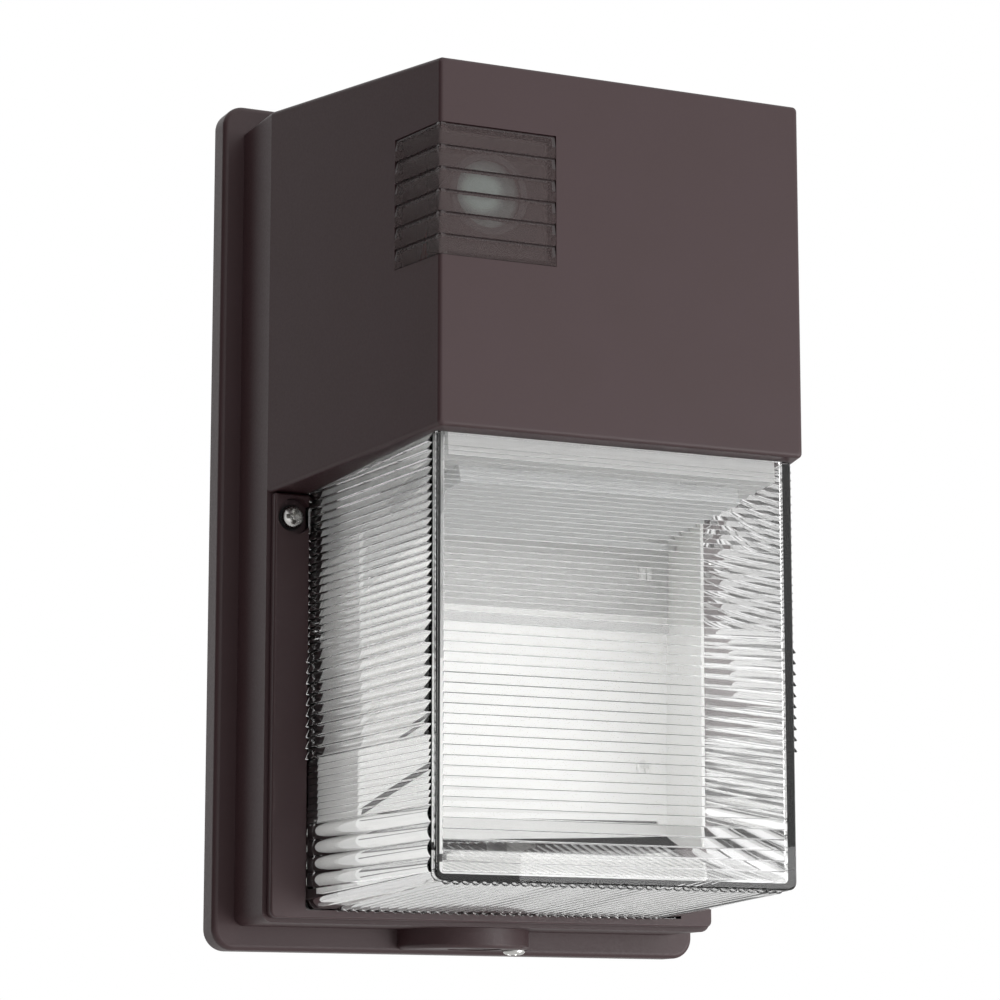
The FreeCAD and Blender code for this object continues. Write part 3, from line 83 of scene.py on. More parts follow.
def slatShade(tree, place, look):
    # painted shade: 1 under each slat's step, and at the slat's two ends over its upper part; sizes in
    # millimetres
    def compare(socket, level, operation):
        return addNode(tree, "ShaderNodeMath", {"operation": operation, 1: level}, {0: socket}).outputs[0]

    axes = addNode(tree, "ShaderNodeSeparateXYZ", None, {0: place})
    # slats down from the top: (top - 1000 z) / pitch, whose fraction is the place within one slat
    drop = addNode(tree, "ShaderNodeMath", {"operation": "MULTIPLY_ADD", 1: -1000 / look["pitch"],
                                            2: look["top"] / look["pitch"]}, {0: axes.outputs["Z"]})
    share = addNode(tree, "ShaderNodeMath", {"operation": "FRACT"}, {0: drop.outputs[0]}).outputs[0]
    line = compare(share, look["line"] / look["pitch"], "LESS_THAN")
    upper = compare(share, look["barShare"], "LESS_THAN")
    ends = addNode(tree, "ShaderNodeMath", {"operation": "MAXIMUM"}, {
        0: compare(axes.outputs["X"], look["rightEnd"] / 1000, "GREATER_THAN"),
        1: compare(axes.outputs["Y"], -look["rearEnd"] / 1000, "GREATER_THAN")})
    bars = addNode(tree, "ShaderNodeMath", {"operation": "MULTIPLY"}, {0: upper, 1: ends.outputs[0]})
    both = addNode(tree, "ShaderNodeMath", {"operation": "MAXIMUM"}, {0: line, 1: bars.outputs[0]})
    return both.outputs[0]


def makeFinish(name, look):
    # colour clouds at cloudMm, roughness and relief from a grain at grainMm, both on Object coordinates
    look = {**finishDefaults, **look}
    material = bpy.data.materials.new(name)
    material.use_nodes = True
    tree = material.node_tree
    tree.nodes.clear()
    place = addNode(tree, "ShaderNodeTexCoord").outputs["Object"]
    along = addNode(tree, "ShaderNodeMapping", {"Scale": look["stretch"]}, {"Vector": place}).outputs[0]
    cloud = addNode(tree, "ShaderNodeTexNoise", {
        "Scale": 1000 / look["cloudMm"], "Detail": look["cloudDetail"]}, {"Vector": place})
    grain = addNode(tree, "ShaderNodeTexNoise", {
        "Scale": 1000 / look["grainMm"], "Detail": look["detail"]}, {"Vector": along})
    colour = addNode(tree, "ShaderNodeMix", {"data_type": "RGBA", 6: toLinear(look["colours"][0]),
                                             7: toLinear(look["colours"][1])}, {0: cloud.outputs["Fac"]})
    base = colour.outputs[2]
    if look["paintedHighlight"]:    # painted highlight: a pale round spot, like a cell under the surface, fading over its rim
        paintedHighlight = look["paintedHighlight"]
        near = addNode(tree, "ShaderNodeMapping", {
            "vector_type": "TEXTURE", "Location": paintedHighlight["centre"], "Scale": (paintedHighlight["radiusMm"] / 1000,) * 3},
            {"Vector": place})
        ball = addNode(tree, "ShaderNodeTexGradient", {"gradient_type": "SPHERICAL"},
                       {"Vector": near.outputs[0]})
        soft = addNode(tree, "ShaderNodeMapRange", {
            "interpolation_type": "SMOOTHSTEP", "From Min": 0.0, "From Max": paintedHighlight["fade"]},
            {"Value": ball.outputs["Fac"]})
        base = addNode(tree, "ShaderNodeMix", {"data_type": "RGBA", 7: toLinear(paintedHighlight["colour"])},
                       {0: soft.outputs[0], 6: base}).outputs[2]
    # painted shade: dark lines under each slat's step and at the slats' ends
    if look["paintedSlatShade"]:
        shade = slatShade(tree, place, look["paintedSlatShade"])
        base = addNode(tree, "ShaderNodeMix", {"data_type": "RGBA", 7: toLinear(look["paintedSlatShade"]["colour"])},
                       {0: shade, 6: base}).outputs[2]
    low, high = look["roughness"]
    rough = addNode(tree, "ShaderNodeMapRange", {
        "From Min": look["grainRange"][0], "From Max": look["grainRange"][1], "To Min": low, "To Max": high},
        {"Value": grain.outputs["Fac"]})
    relief = addNode(tree, "ShaderNodeBump", {
        "Strength": look["bumpStrength"], "Distance": look["bumpMm"] / 1000},
        {"Height": grain.outputs["Fac"]})
    shader = addNode(tree, "ShaderNodeBsdfPrincipled", {
        "Metallic": look["metallic"], "IOR": look["ior"], "Specular IOR Level": look["specular"],
        "Coat Weight": look["coat"], "Coat Roughness": look["coatRoughness"],
        "Transmission Weight": look["transmission"],
    }, {"Base Color": base, "Roughness": rough.outputs[0], "Normal": relief.outputs[0]})
    surface = shader.outputs[0]
    if look["seeThrough"]:      # share of light that goes straight through each face, and its tint
        share, code = look["seeThrough"]
        clear = addNode(tree, "ShaderNodeBsdfTransparent", {"Color": toLinear(code)})
        mix = addNode(tree, "ShaderNodeMixShader", {0: share}, {1: surface, 2: clear.outputs[0]})
        if look["paintedSlatShade"]:       # the shaded lines let no light through
            left = addNode(tree, "ShaderNodeMath", {"operation": "MULTIPLY_ADD", 1: -share, 2: share},
                           {0: shade})
            tree.links.new(left.outputs[0], mix.inputs[0])
        surface = mix.outputs[0]
    addNode(tree, "ShaderNodeOutputMaterial", None, {"Surface": surface})
    return material


finishes = {
    # polyester powder coat on die-cast aluminium: very dark brown with a fine, even, semi-matt orange peel
    "bronze_casting": ("powder coated die-cast aluminium", {
        "colours": ("#352021", "#392428"), "roughness": (0.42, 0.5), "grainMm": 0.9, "bumpMm": 0.012,
        "cloudMm": 22.0}),
    # the same coat on the door casting, a touch smoother
    "bronze_frame": ("powder coated die-cast frame", {
        "colours": ("#352021", "#392428"), "roughness": (0.4, 0.48), "grainMm": 0.8, "bumpMm": 0.01,
        "cloudMm": 22.0}),
    # the same coat on a turned and slotted plug
    "bronze_plug": ("powder coated turned plug", {
        "colours": ("#30201f", "#352424"), "roughness": (0.4, 0.5), "grainMm": 0.7, "bumpMm": 0.01}),
    # closed-cell neoprene foam: matt black skin with small open pores
    "seal_foam": ("neoprene foam", {
        "colours": ("#1c1c1d", "#262628"), "roughness": (0.85, 1.0), "grainMm": 0.7, "bumpMm": 0.15}),
    # moulded EPDM rubber: matt with a slight bloom
    "black_rubber": ("moulded EPDM rubber", {
        "colours": ("#131313", "#1c1c1d"), "roughness": (0.6, 0.78), "grainMm": 0.5, "bumpMm": 0.02,
        "cloudMm": 12.0}),
    # opal polycarbonate diffuser: milky and even, satin outside
    "opal_plastic": ("opal polycarbonate", {
        "colours": ("#c6c7c7", "#cbcccc"), "roughness": (0.42, 0.52), "grainMm": 0.6, "bumpMm": 0.006}),
    # black e-coated steel strip
    "black_steel": ("black e-coated steel", {
        "colours": ("#161616", "#1c1c1d"), "roughness": (0.5, 0.65), "grainMm": 0.6, "bumpMm": 0.01}),
    # zinc plated sheet steel: rolled along X, pale grey with soft streaks
    "zinc_plate": ("zinc plated sheet steel", {
        "colours": ("#a9aaa6", "#c2c3bf"), "metallic": 1.0, "roughness": (0.28, 0.46), "grainMm": 0.5,
        "bumpMm": 0.01, "stretch": (0.08, 1, 1), "cloudMm": 18.0}),
    # tumbled stainless screws: bright, with a fine satin
    "bright_screws": ("tumbled stainless steel", {
        "colours": ("#c6c5c2", "#d6d5d2"), "metallic": 1.0, "roughness": (0.16, 0.3), "grainMm": 0.35,
        "bumpMm": 0.006, "cloudMm": 3.0}),
    # zinc plated steel screws: duller, slightly blue
    "inner_screws": ("zinc plated steel screws", {
        "colours": ("#b3b5b6", "#c6c8ca"), "metallic": 1.0, "roughness": (0.25, 0.42), "grainMm": 0.3,
        "bumpMm": 0.006, "cloudMm": 2.5}),
    # screws enamelled white with the reflector
    "white_screws": ("white enamelled steel screws", {
        "colours": ("#e9e9e7", "#efefed"), "roughness": (0.32, 0.42), "grainMm": 0.4, "cloudMm": 3.0}),
    # green lacquered ground screw
    "green_screw": ("green lacquered steel", {
        "colours": ("#1f6b33", "#2a7c3e"), "roughness": (0.3, 0.42), "grainMm": 0.4, "cloudMm": 3.0}),
    # moulded smoked polycarbonate: tinted to the bronze, a bright thing close behind it still shows. Painted
    # shade: dark lines under the step of each slat and at its ends
    "smoked_plastic": ("smoked polycarbonate", {
        "colours": ("#685757", "#6e5c5c"), "ior": 1.58, "roughness": (0.24, 0.32), "grainMm": 1.6,
        "bumpMm": 0.006, "seeThrough": (0.72, "#eff2f1"),
        "paintedSlatShade": {"top": 116.3, "pitch": 7.8, "line": 0.7, "barShare": 0.5, "rightEnd": -27.6,
                  "rearEnd": 123.2, "colour": "#2a1c1d"}}),
    # moulded black nylon: satin with a spark-eroded grain
    "black_plastic": ("moulded black nylon", {
        "colours": ("#2a2a2c", "#333336"), "roughness": (0.38, 0.52), "grainMm": 0.4, "bumpMm": 0.012}),
    # the photocell's face: a grey, glossy dome with a painted highlight, a pale round spot like a cell under
    # it
    "photocell_lens": ("grey acrylic dome with a painted highlight", {
        "colours": ("#6c7876", "#75817f"), "coat": 1.0, "roughness": (0.25, 0.35), "grainMm": 0.8,
        "cloudMm": 9.0,
        "paintedHighlight": {"centre": (-0.0528, -0.1462, 0.0945), "radiusMm": 10.0, "fade": 0.55, "colour": "#d3e2de"}}),
    # clear acrylic, injection moulded: polished, with very faint flow waves
    "clear_lens": ("clear moulded acrylic", {
        "colours": ("#fdfdfd", "#fefefe"), "ior": 1.49, "transmission": 1.0, "roughness": (0.0, 0.02),
        "grainMm": 14.0, "bumpMm": 0.004, "detail": 1.0, "cloudMm": 60.0}),
    # polyester painted sheet steel: pale grey, semi-gloss
    "pale_sheet": ("pale grey painted sheet", {
        "colours": ("#c9c9c8", "#cfcfce"), "roughness": (0.38, 0.46), "grainMm": 0.8, "bumpMm": 0.008}),
    # white reflector enamel: high reflectance, semi-gloss
    "white_reflector": ("white reflector enamel", {
        "colours": ("#f2f2f0", "#f6f6f4"), "roughness": (0.32, 0.4), "grainMm": 0.9, "bumpMm": 0.008,
        "cloudMm": 40.0}),
    # ceramic filled silicone pad: soft, chalky blue-grey
    "grey_pad": ("filled silicone pad", {
        "colours": ("#8a9198", "#979ea4"), "roughness": (0.75, 0.9), "grainMm": 0.4, "bumpMm": 0.02}),
    # white solder mask on an aluminium board
    "white_board": ("white solder mask", {
        "colours": ("#ecece8", "#f3f3ef"), "coat": 0.4, "roughness": (0.3, 0.4), "grainMm": 0.6}),
    # green solder mask on glass fibre, whose weave shows faintly
    "green_board": ("green solder mask", {
        "colours": ("#1d5a31", "#256a3b"), "coat": 0.5, "roughness": (0.28, 0.4), "grainMm": 0.8,
        "stretch": (1, 1, 0.3), "bumpMm": 0.02}),
    # phosphor in silicone over the diodes
    "led_phosphor": ("phosphor filled silicone", {
        "colours": ("#e8cf5c", "#f0da74"), "coat": 0.6, "roughness": (0.3, 0.4), "grainMm": 0.3,
        "cloudMm": 1.5}),
    # drawn aluminium case: satin along Z
    "driver_metal": ("drawn aluminium", {
        "colours": ("#b6b8ba", "#c6c8ca"), "metallic": 1.0, "roughness": (0.3, 0.45), "grainMm": 0.4,
        "stretch": (1, 1, 0.06), "cloudMm": 25.0}),
    # epoxy and PET sleeves of the driver's components
    "driver_components": ("epoxy sleeve", {
        "colours": ("#26262a", "#303036"), "roughness": (0.35, 0.5), "grainMm": 0.5, "cloudMm": 8.0}),
    # PVC insulation: satin with fine drawing lines
    "red_wire": ("red PVC insulation", {
        "colours": ("#a01f1c", "#ab2a26"), "roughness": (0.36, 0.48), "grainMm": 0.3, "cloudMm": 8.0}),
    "white_wire": ("white PVC insulation", {
        "colours": ("#d3d3d1", "#dededb"), "roughness": (0.36, 0.48), "grainMm": 0.3, "cloudMm": 8.0}),
    "black_wire": ("black PVC insulation", {
        "colours": ("#1b1b1c", "#242425"), "roughness": (0.36, 0.48), "grainMm": 0.3, "cloudMm": 8.0}),
    "green_wire": ("green PVC insulation", {
        "colours": ("#1f6f30", "#287c3a"), "roughness": (0.36, 0.48), "grainMm": 0.3, "cloudMm": 8.0}),
    # moulded polypropylene caps: waxy orange
    "connector_plastic": ("orange polypropylene", {
        "colours": ("#d4701e", "#de7c2a"), "roughness": (0.4, 0.52), "grainMm": 0.5, "cloudMm": 7.0}),
}

materials = {slot: makeFinish(name, look) for slot, (name, look) in finishes.items()}
for part in frame["record"]["subparts"]:
    mesh = frame["nodes"][part["node"]].data
    mesh.materials.clear()
    mesh.materials.append(materials[part["material_slot"]])
print("finishes:", len(materials))


def putMesh(name, points, faces, material, body, sharpDegrees=30.0):
    # points in millimetres, as (x, depth in front of the wall, z)
    mesh = bpy.data.meshes.new(name)
    turned = np.stack([points[:, 0], -points[:, 1], points[:, 2]], 1) / 1000
    mesh.from_pydata(turned.tolist(), [], faces)
    piece = bpy.data.objects.new(name, mesh)
    bpy.context.collection.objects.link(piece)
    closeMesh(mesh)
    mesh.shade_smooth()
    mesh.set_sharp_from_angle(angle=math.radians(sharpDegrees))
    mesh.materials.append(material)
    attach(piece, body)
    return piece


def closeMesh(mesh, tolerance=1e-6):
    # merges the points that clamped levels share, drops the empty faces and turns all faces outwards
    shell = bmesh.new()
    shell.from_mesh(mesh)
    bmesh.ops.remove_doubles(shell, verts=shell.verts, dist=tolerance)
    bmesh.ops.dissolve_degenerate(shell, edges=shell.edges, dist=tolerance)
    bmesh.ops.recalc_face_normals(shell, faces=shell.faces)
    shell.to_mesh(mesh)
    shell.free()


def loopFaces(rings, count):
    # quads between closed rings of count points, and a cap on each end ring
    i = np.arange(count)
    j = (i + 1) % count
    quads = np.concatenate([np.stack([i, j, j + count, i + count], 1) + r * count for r in range(rings - 1)])
    last = (rings - 1) * count
    return quads.tolist() + [list(range(count))[::-1], list(range(last, last + count))]


def gridFaces(rows, columns, start=0):
    # quads of a grid whose points run along its columns first
    i = (np.arange(rows - 1)[:, None] * columns + np.arange(columns - 1)[None, :]).ravel() + start
    return np.stack([i, i + 1, i + 1 + columns, i + columns], 1)


def teeth(top, counts, pitches, shape):
    # heights, offsets and zones of the points of teeth going down. Each zone has a count and a pitch, and
    # shape holds (share of the pitch, share of the depth) for the points of one tooth
    starts, sizes = [], []
    for count, pitch in zip(counts, pitches):
        starts.append(top - np.arange(count) * pitch)
        sizes.append(np.full(count, pitch))
        top = top - count * pitch
    starts, sizes = np.concatenate(starts), np.concatenate(sizes)
    share = np.array(shape)
    heights = starts[:, None] - sizes[:, None] * share[None, :, 0]
    offsets = np.broadcast_to(share[None, :, 1], heights.shape)
    zones = np.repeat(np.repeat(np.arange(len(counts)), counts), len(shape))
    return heights.ravel(), offsets.ravel(), zones


lensShape = {
    # half widths and heights where it leaves the frame and at its front; depths are in front of the wall
    "frontHalf": 68.1, "rearHalf": 74.9, "front": 144.0, "frameFront": 44.3, "rear": 40.65,
    "frontTop": 10.33, "rearTop": 4.61, "frontBottom": -140.3, "rearBottom": -144.9,
    "wall": 2.6, "plate": 3.4, "corner": 3.0, "insideCorner": 1.6, "edge": 0.45,
    "bendPoints": 7, "plateBendPoints": 8, "sharpDegrees": 24.0,
    # the teeth of the sides, in three zones
    "sideTop": 9.8, "sideCounts": (22, 10, 10), "sidePitches": (2.88, 3.87, 2.29),
    "sideDepths": (1.8, 2.6, 0.9),
    "tooth": ((0.0, 0.0), (0.78, 0.93), (0.84, 1.0), (0.9, 0.96), (0.93, 0.8), (0.96, 0.05)),
    "rearShare": 0.65,      # the teeth are lower at the rear
    "teethFrom": (45.6, 45.9), "teethShort": (0.06, 0.03),      # where they rise, and fall behind the plate
    "farTop": 20.0, "farBottom": -150.0,      # levels past both ends, where the section is smooth
    "fluteCount": 4, "flutePitch": 5.74, "fluteDepth": 1.3, "flutePoints": 8,
    # the ribs inside the front plate, in four zones, and the plain bands round them
    "ribTop": 7.7, "ribCounts": (18, 13, 20, 5), "ribPitches": (1.67, 2.15, 3.46, 3.65),
    "ribDepths": (0.68, 0.72, 0.8, 1.3), "ribHalf": 64.6,
    "rib": ((0.0, 0.0), (0.8, 0.94), (0.86, 1.0), (0.91, 0.9), (0.96, 0.05)),
    "topBand": 0.6, "levelRoom": 0.4, "ribRoom": 0.5, "columnEdge": 0.05,
    # the ribs along the underside
    "underPitch": 3.58, "underDepth": 1.0, "underCount": 36, "underPower": 0.7, "underPoints": 6,
    "lapFrom": 0.15, "lapTo": 0.7, "lapInset": 0.3,      # the trough runs on into the plate, a little smaller
    # the lip behind the frame
    "lipOut": 3.6, "lipFront": 42.25, "lipBack": 0.01, "lipTop": -14.0, "lipBottom": -146.7, "lipLap": 0.4,
    "hookAt": 50.0, "hookHalf": 7.4, "hookStep": 0.3,
}


def lerp(d, look, atRear, atFront):
    # straight line over the depth between the frame's front and the lens front
    share = (d - look["frameFront"]) / (look["front"] - look["frameFront"])
    return look[atRear] + (look[atFront] - look[atRear]) * share


def lensTrough(look):
    # the sides and the bottom: one closed section of teeth, flutes and underside ribs at each depth
    heights, offsets, zone = teeth(look["sideTop"], look["sideCounts"], look["sidePitches"], look["tooth"])
    offsets = offsets * np.array(look["sideDepths"])[zone]
    t = np.linspace(0, 1, look["flutePoints"], endpoint=False)
    low = heights.min() - look["sidePitches"][-1] * (1 - look["tooth"][-1][0])
    flutes = low - (np.arange(look["fluteCount"])[:, None] + t[None, :]).ravel() * look["flutePitch"]
    bulge = np.tile(look["fluteDepth"] * (1 - (2 * t - 1) ** 2), look["fluteCount"])
    fluteEnd = low - look["fluteCount"] * look["flutePitch"]
    heights = np.concatenate([[look["farTop"]], heights, flutes, [fluteEnd, look["farBottom"]]])
    offsets = np.concatenate([[0.0], offsets, bulge, [0.0, 0.0]])
    turn = np.linspace(0, np.pi / 2, look["bendPoints"])
    # the underside ribs are |sin(pi x / pitch)| ^ underPower
    across = np.linspace(0, 1, look["underPoints"], endpoint=False)
    ribX = (np.arange(look["underCount"])[:, None] - look["underCount"] / 2 + across[None, :]).ravel()
    ribX = np.append(ribX, look["underCount"] / 2) * look["underPitch"]
    wave = np.abs(np.sin(np.pi * ribX / look["underPitch"])) ** look["underPower"]
    # each station: its depth, the share of the teeth and of the underside ribs, and the inset
    plateRear = look["front"] - look["plate"]
    stations = [(look["rear"], 0, 0, 0), (look["teethFrom"][0], 0, 0, 0),
                (look["teethFrom"][1], look["rearShare"], 1, 0),
                (plateRear - look["teethShort"][0], 1, 1, 0), (plateRear - look["teethShort"][1], 0, 1, 0),
                (plateRear + look["lapFrom"], 0, 1, look["lapInset"]),
                (look["front"] - look["lapTo"], 0, 1, look["lapInset"])]
    mirror = np.array([-1.0, 1.0])
    rings = []
    for d, grow, under, inset in stations:
        half = lerp(d, look, "rearHalf", "frontHalf") - inset
        top = lerp(d, look, "rearTop", "frontTop") - inset
        bottom = lerp(d, look, "rearBottom", "frontBottom") + inset
        level = np.clip(heights, bottom + look["corner"], top)
        out = np.interp(level, heights[::-1], offsets[::-1]) * grow
        out[level <= bottom + look["corner"]] = 0.0
        left = np.stack([-half - out, level], 1)
        bend = np.stack([-half + look["corner"] * (1 - np.cos(turn)),
                         bottom + look["corner"] * (1 - np.sin(turn))], 1)
        # the underside ribs run on below the front plate
        ribs = np.stack([ribX, bottom - inset / 2 - (wave * look["underDepth"] - inset) * under], 1)
        outer = np.concatenate([left, bend, ribs, bend[::-1] * mirror, left[::-1] * mirror])
        inHalf = half - look["wall"] + inset
        inLow = bottom + look["wall"] - inset
        inBend = np.stack([inHalf - look["insideCorner"] * (1 - np.cos(turn)),
                           inLow + look["insideCorner"] * (1 - np.sin(turn))], 1)
        right = np.concatenate([[[inHalf, top]], inBend])
        inner = np.concatenate([right, right[::-1] * mirror])
        ring = np.concatenate([outer, inner])
        rings.append(np.stack([ring[:, 0], np.full(len(ring), d), ring[:, 1]], 1))
    return np.concatenate(rings), loopFaces(len(rings), len(rings[0]))


def lensPlate(look):
    # the front: flat outside with rounded edges, level ribs inside between two smooth columns
    heights, offsets, zone = teeth(look["ribTop"], look["ribCounts"], look["ribPitches"], look["rib"])
    offsets = offsets * np.array(look["ribDepths"])[zone]
    top, bottom, half = look["frontTop"], look["frontBottom"], look["frontHalf"]
    corner, ribHalf = look["corner"], look["ribHalf"]
    turn = np.linspace(0, np.pi / 2, look["plateBendPoints"])
    bend = corner * (1 - np.cos(turn))
    turnZ = bottom + corner * (1 - np.sin(turn))
    ribZ = heights[heights > bottom + look["wall"] + look["levelRoom"]]
    levels = np.unique(np.concatenate([ribZ, turnZ, [top, top - look["topBand"]]]))[::-1]
    side = np.concatenate([-half + bend, [-ribHalf - look["columnEdge"], -ribHalf]])
    xs = np.unique(np.concatenate([side, -side]))
    x, z = np.meshgrid(xs, levels)
    edge = half - np.abs(x)
    rise = np.sqrt(np.clip(corner ** 2 - (corner - edge) ** 2, 0, None))
    z = np.maximum(z, np.where(edge < corner, bottom + corner - rise, bottom))
    ribbed = (np.abs(x) <= ribHalf) & (z > bottom + look["wall"] + look["ribRoom"])
    relief = np.interp(z, heights[::-1], offsets[::-1], left=0.0, right=0.0)
    rearDepth = np.where(ribbed, look["front"] - look["wall"] - relief, look["front"] - look["plate"])
    middle = (top + bottom) / 2
    shrinkX, shrinkZ = 1 - look["edge"] / half, 1 - look["edge"] / (top - middle)
    rear = np.stack([x, rearDepth, z], 2).reshape(-1, 3)
    mid = np.stack([x, np.full_like(x, look["front"] - look["edge"]), z], 2).reshape(-1, 3)
    frontZ = middle + (z - middle) * shrinkZ
    front = np.stack([x * shrinkX, np.full_like(x, look["front"]), frontZ], 2).reshape(-1, 3)
    rows, columns = x.shape
    count = rows * columns
    index = np.arange(count).reshape(rows, columns)
    rim = np.concatenate([index[0, :-1], index[:-1, -1], index[-1, :0:-1], index[:0:-1, 0]])
    following = np.roll(rim, -1)
    strips = [np.stack([rim + a * count, following + a * count, following + b * count, rim + b * count], 1)
              for a, b in ((0, 1), (1, 2))]
    faces = np.concatenate([gridFaces(rows, columns), gridFaces(rows, columns, 2 * count)] + strips)
    return np.concatenate([rear, mid, front]), faces.tolist()


def lensLip(look):
    # the flat lip behind the frame, cut away at the hooks: its outline carried through its thickness
    half = lerp(look["rear"], look, "rearHalf", "frontHalf")
    out, inner = half + look["lipOut"], half - look["wall"] + look["lipLap"]
    low, step = look["lipBottom"], look["rearBottom"] + look["hookStep"]
    near, far = look["hookAt"] - look["hookHalf"], look["hookAt"] + look["hookHalf"]
    right = [(inner, look["lipTop"]), (out, look["lipTop"]), (out, low),
             (far, low), (far, step), (near, step), (near, low)]
    upper = look["rearBottom"] + look["wall"] - look["lipLap"]
    outline = np.array(right + [(-x, z) for x, z in right[::-1]] + [(-inner, upper), (inner, upper)])
    ends = [np.stack([outline[:, 0], np.full(len(outline), d), outline[:, 1]], 1)
            for d in (look["rear"] - look["lipBack"], look["lipFront"])]
    return np.concatenate(ends), loopFaces(2, len(outline))


def makeLens(look):
    clear = materials["clear_lens"]
    trough = putMesh("ribbed_drop_lens", *lensTrough(look), clear, "door")
    for name, surface in (("lens_plate", lensPlate(look)), ("lens_lip", lensLip(look))):
        part = putMesh(name, *surface, clear, "door")
        join = trough.modifiers.new("join " + name, "BOOLEAN")
        join.operation, join.solver, join.object = "UNION", "EXACT", part
        graph = bpy.context.evaluated_depsgraph_get()
        joined = bpy.data.meshes.new_from_object(trough.evaluated_get(graph))
        trough.modifiers.clear()
        trough.data = joined
        bpy.data.objects.remove(part)
    trough.data.shade_smooth()
    trough.data.set_sharp_from_angle(angle=math.radians(look["sharpDegrees"]))
    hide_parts("lens")
    print("lens:", len(trough.data.polygons), "faces")


makeLens(lensShape)


screwShape = {
    # the head: its dome, the cross pressed into it, and its underside
    "headRadius": 4.1, "headRise": 2.6, "rimRise": 1.2, "domePower": 2.6, "headFrom": 0.02, "headRings": 40,
    "wing": 2.8, "wingHalf": 0.78, "wingEnd": 0.55, "recess": 2.3, "recessWall": 0.22,
    "recessFall": 1.25, "recessLeast": 0.25,
    "skirt": ((0.985, 0.1), (0.95, 0.04)), "neck": 0.1,      # shares of the head's radius, and heights
    # the shank with its thread and its blunt tip
    "shankRadius": 2.0, "threadDepth": 0.3, "threadPitch": 0.7, "threadCrest": 1.5, "threadFrom": 0.12,
    "threadSteps": 7, "fadeFrom": 0.6, "fadeOver": 0.8, "tip": 1.6, "tipShare": 0.3,
    "around": 144, "sharpDegrees": 40.0,
}


def screwSurface(look, length):
    # rings about the axis, from the head's middle over its dome, down to its seat and along the thread to the
    # tip. The dome is pressed in by a cross that tapers towards its bottom. The thread is a ridge whose
    # height follows the angle plus the distance in pitches
    angle = np.linspace(0, 2 * np.pi, look["around"], endpoint=False)
    share = np.linspace(look["headFrom"], 1, look["headRings"])
    radius = share * look["headRadius"]
    curve = np.sqrt(np.clip(1 - share ** look["domePower"], 0, 1))
    dome = look["rimRise"] + (look["headRise"] - look["rimRise"]) * curve
    u = radius[:, None] * np.cos(angle)
    v = radius[:, None] * np.sin(angle)
    near, far = np.minimum(np.abs(u), np.abs(v)), np.maximum(np.abs(u), np.abs(v))
    room = np.minimum(look["wingHalf"] - near, (look["wing"] - far) * look["wingEnd"])
    deepest = np.clip(look["recessFall"] - far / look["wing"], look["recessLeast"], 1)
    pressed = look["recess"] * np.clip(room / look["recessWall"], 0, 1) * deepest
    head = np.stack([u, v, dome[:, None] - pressed], 2)
    seat = look["skirt"][-1][1]
    down = np.array([(look["headRadius"], look["rimRise"] / 2)]
                    + [(look["headRadius"] * part, height) for part, height in look["skirt"]]
                    + [(look["shankRadius"] + look["neck"], seat)])
    skirt = np.stack([down[:, :1] * np.cos(angle), down[:, :1] * np.sin(angle),
                      np.broadcast_to(down[:, 1:], (len(down), look["around"]))], 2)
    along = np.arange(look["threadFrom"], length, look["threadPitch"] / look["threadSteps"])
    phase = (along[:, None] / look["threadPitch"] + angle / (2 * np.pi)) % 1
    ridge = 1 - np.abs(2 * phase - 1)
    fade = np.clip((along - look["fadeFrom"]) / look["fadeOver"], 0, 1)[:, None]
    point = np.clip((length - along) / look["tip"], look["tipShare"], 1)[:, None]
    valley = look["threadDepth"] * fade * (1 - np.clip(ridge * look["threadCrest"], 0, 1))
    reach = (look["shankRadius"] - valley) * point
    thread = np.stack([reach * np.cos(angle), reach * np.sin(angle),
                       np.broadcast_to(-along[:, None], reach.shape)], 2)
    rings = np.concatenate([head, skirt, thread])
    return rings.reshape(-1, 3), loopFaces(len(rings), look["around"])


def makeScrew(node, axis, look):
    # each screw is a body of its own. Its own Z is turned to face -Y or -Z, and its head goes to the head
    # end of the CAD screw
    low, high = (np.array(corner) * 1000 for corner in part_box(node))
    middle = (low + high) / 2
    length = (high - low)[axis] - look["headRise"]
    points, faces = screwSurface(look, length)
    u, v, w = points.T
    if axis == 1:
        place = np.stack([middle[0] + u, -(low[1] + look["headRise"]) + w, middle[2] + v], 1)
    else:
        place = np.stack([middle[0] + u, -middle[1] - v, low[2] + look["headRise"] - w], 1)
    piece = putMesh(node + "_threaded", place, faces, materials["bright_screws"], node, look["sharpDegrees"])
    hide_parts(node)


for node, axis in (("door_screw_left", 1), ("door_screw_right", 1), ("lock_screw", 2)):
    makeScrew(node, axis, screwShape)
print("screws ready")


studio = {
    "keyFrom": (0.62, -0.72, -0.36),    # where the light comes from
    "keyDistance": 1.5, "keySize": 1.1, "keyWatts": 12.5,
    "ambient": (0.05, 1.3), "shadeFrom": -0.4,    # strength of the sky away from the key side and on it
    "overhead": 0.85, "overheadEdge": (0.3, 1.0),    # strength added straight above, and its edge
    # for light through glass to the surfaces inside: its strength from behind and in front, and its edge
    "throughGlass": (1.0, 2.2), "glassEdge": 0.4,
    "backdrop": (0.41, 0.9, 0.16), "backdropEdge": (0.18, 0.8),      # the white sheet behind the light
    "floorHeight": -1.6, "floorRadius": 9.0, "floorPoints": 96,
    "floorFinish": {"colours": ("#efefee", "#f2f2f1"), "roughness": (0.8, 0.9), "grainMm": 3.0,
                    "cloudMm": 400.0},
}


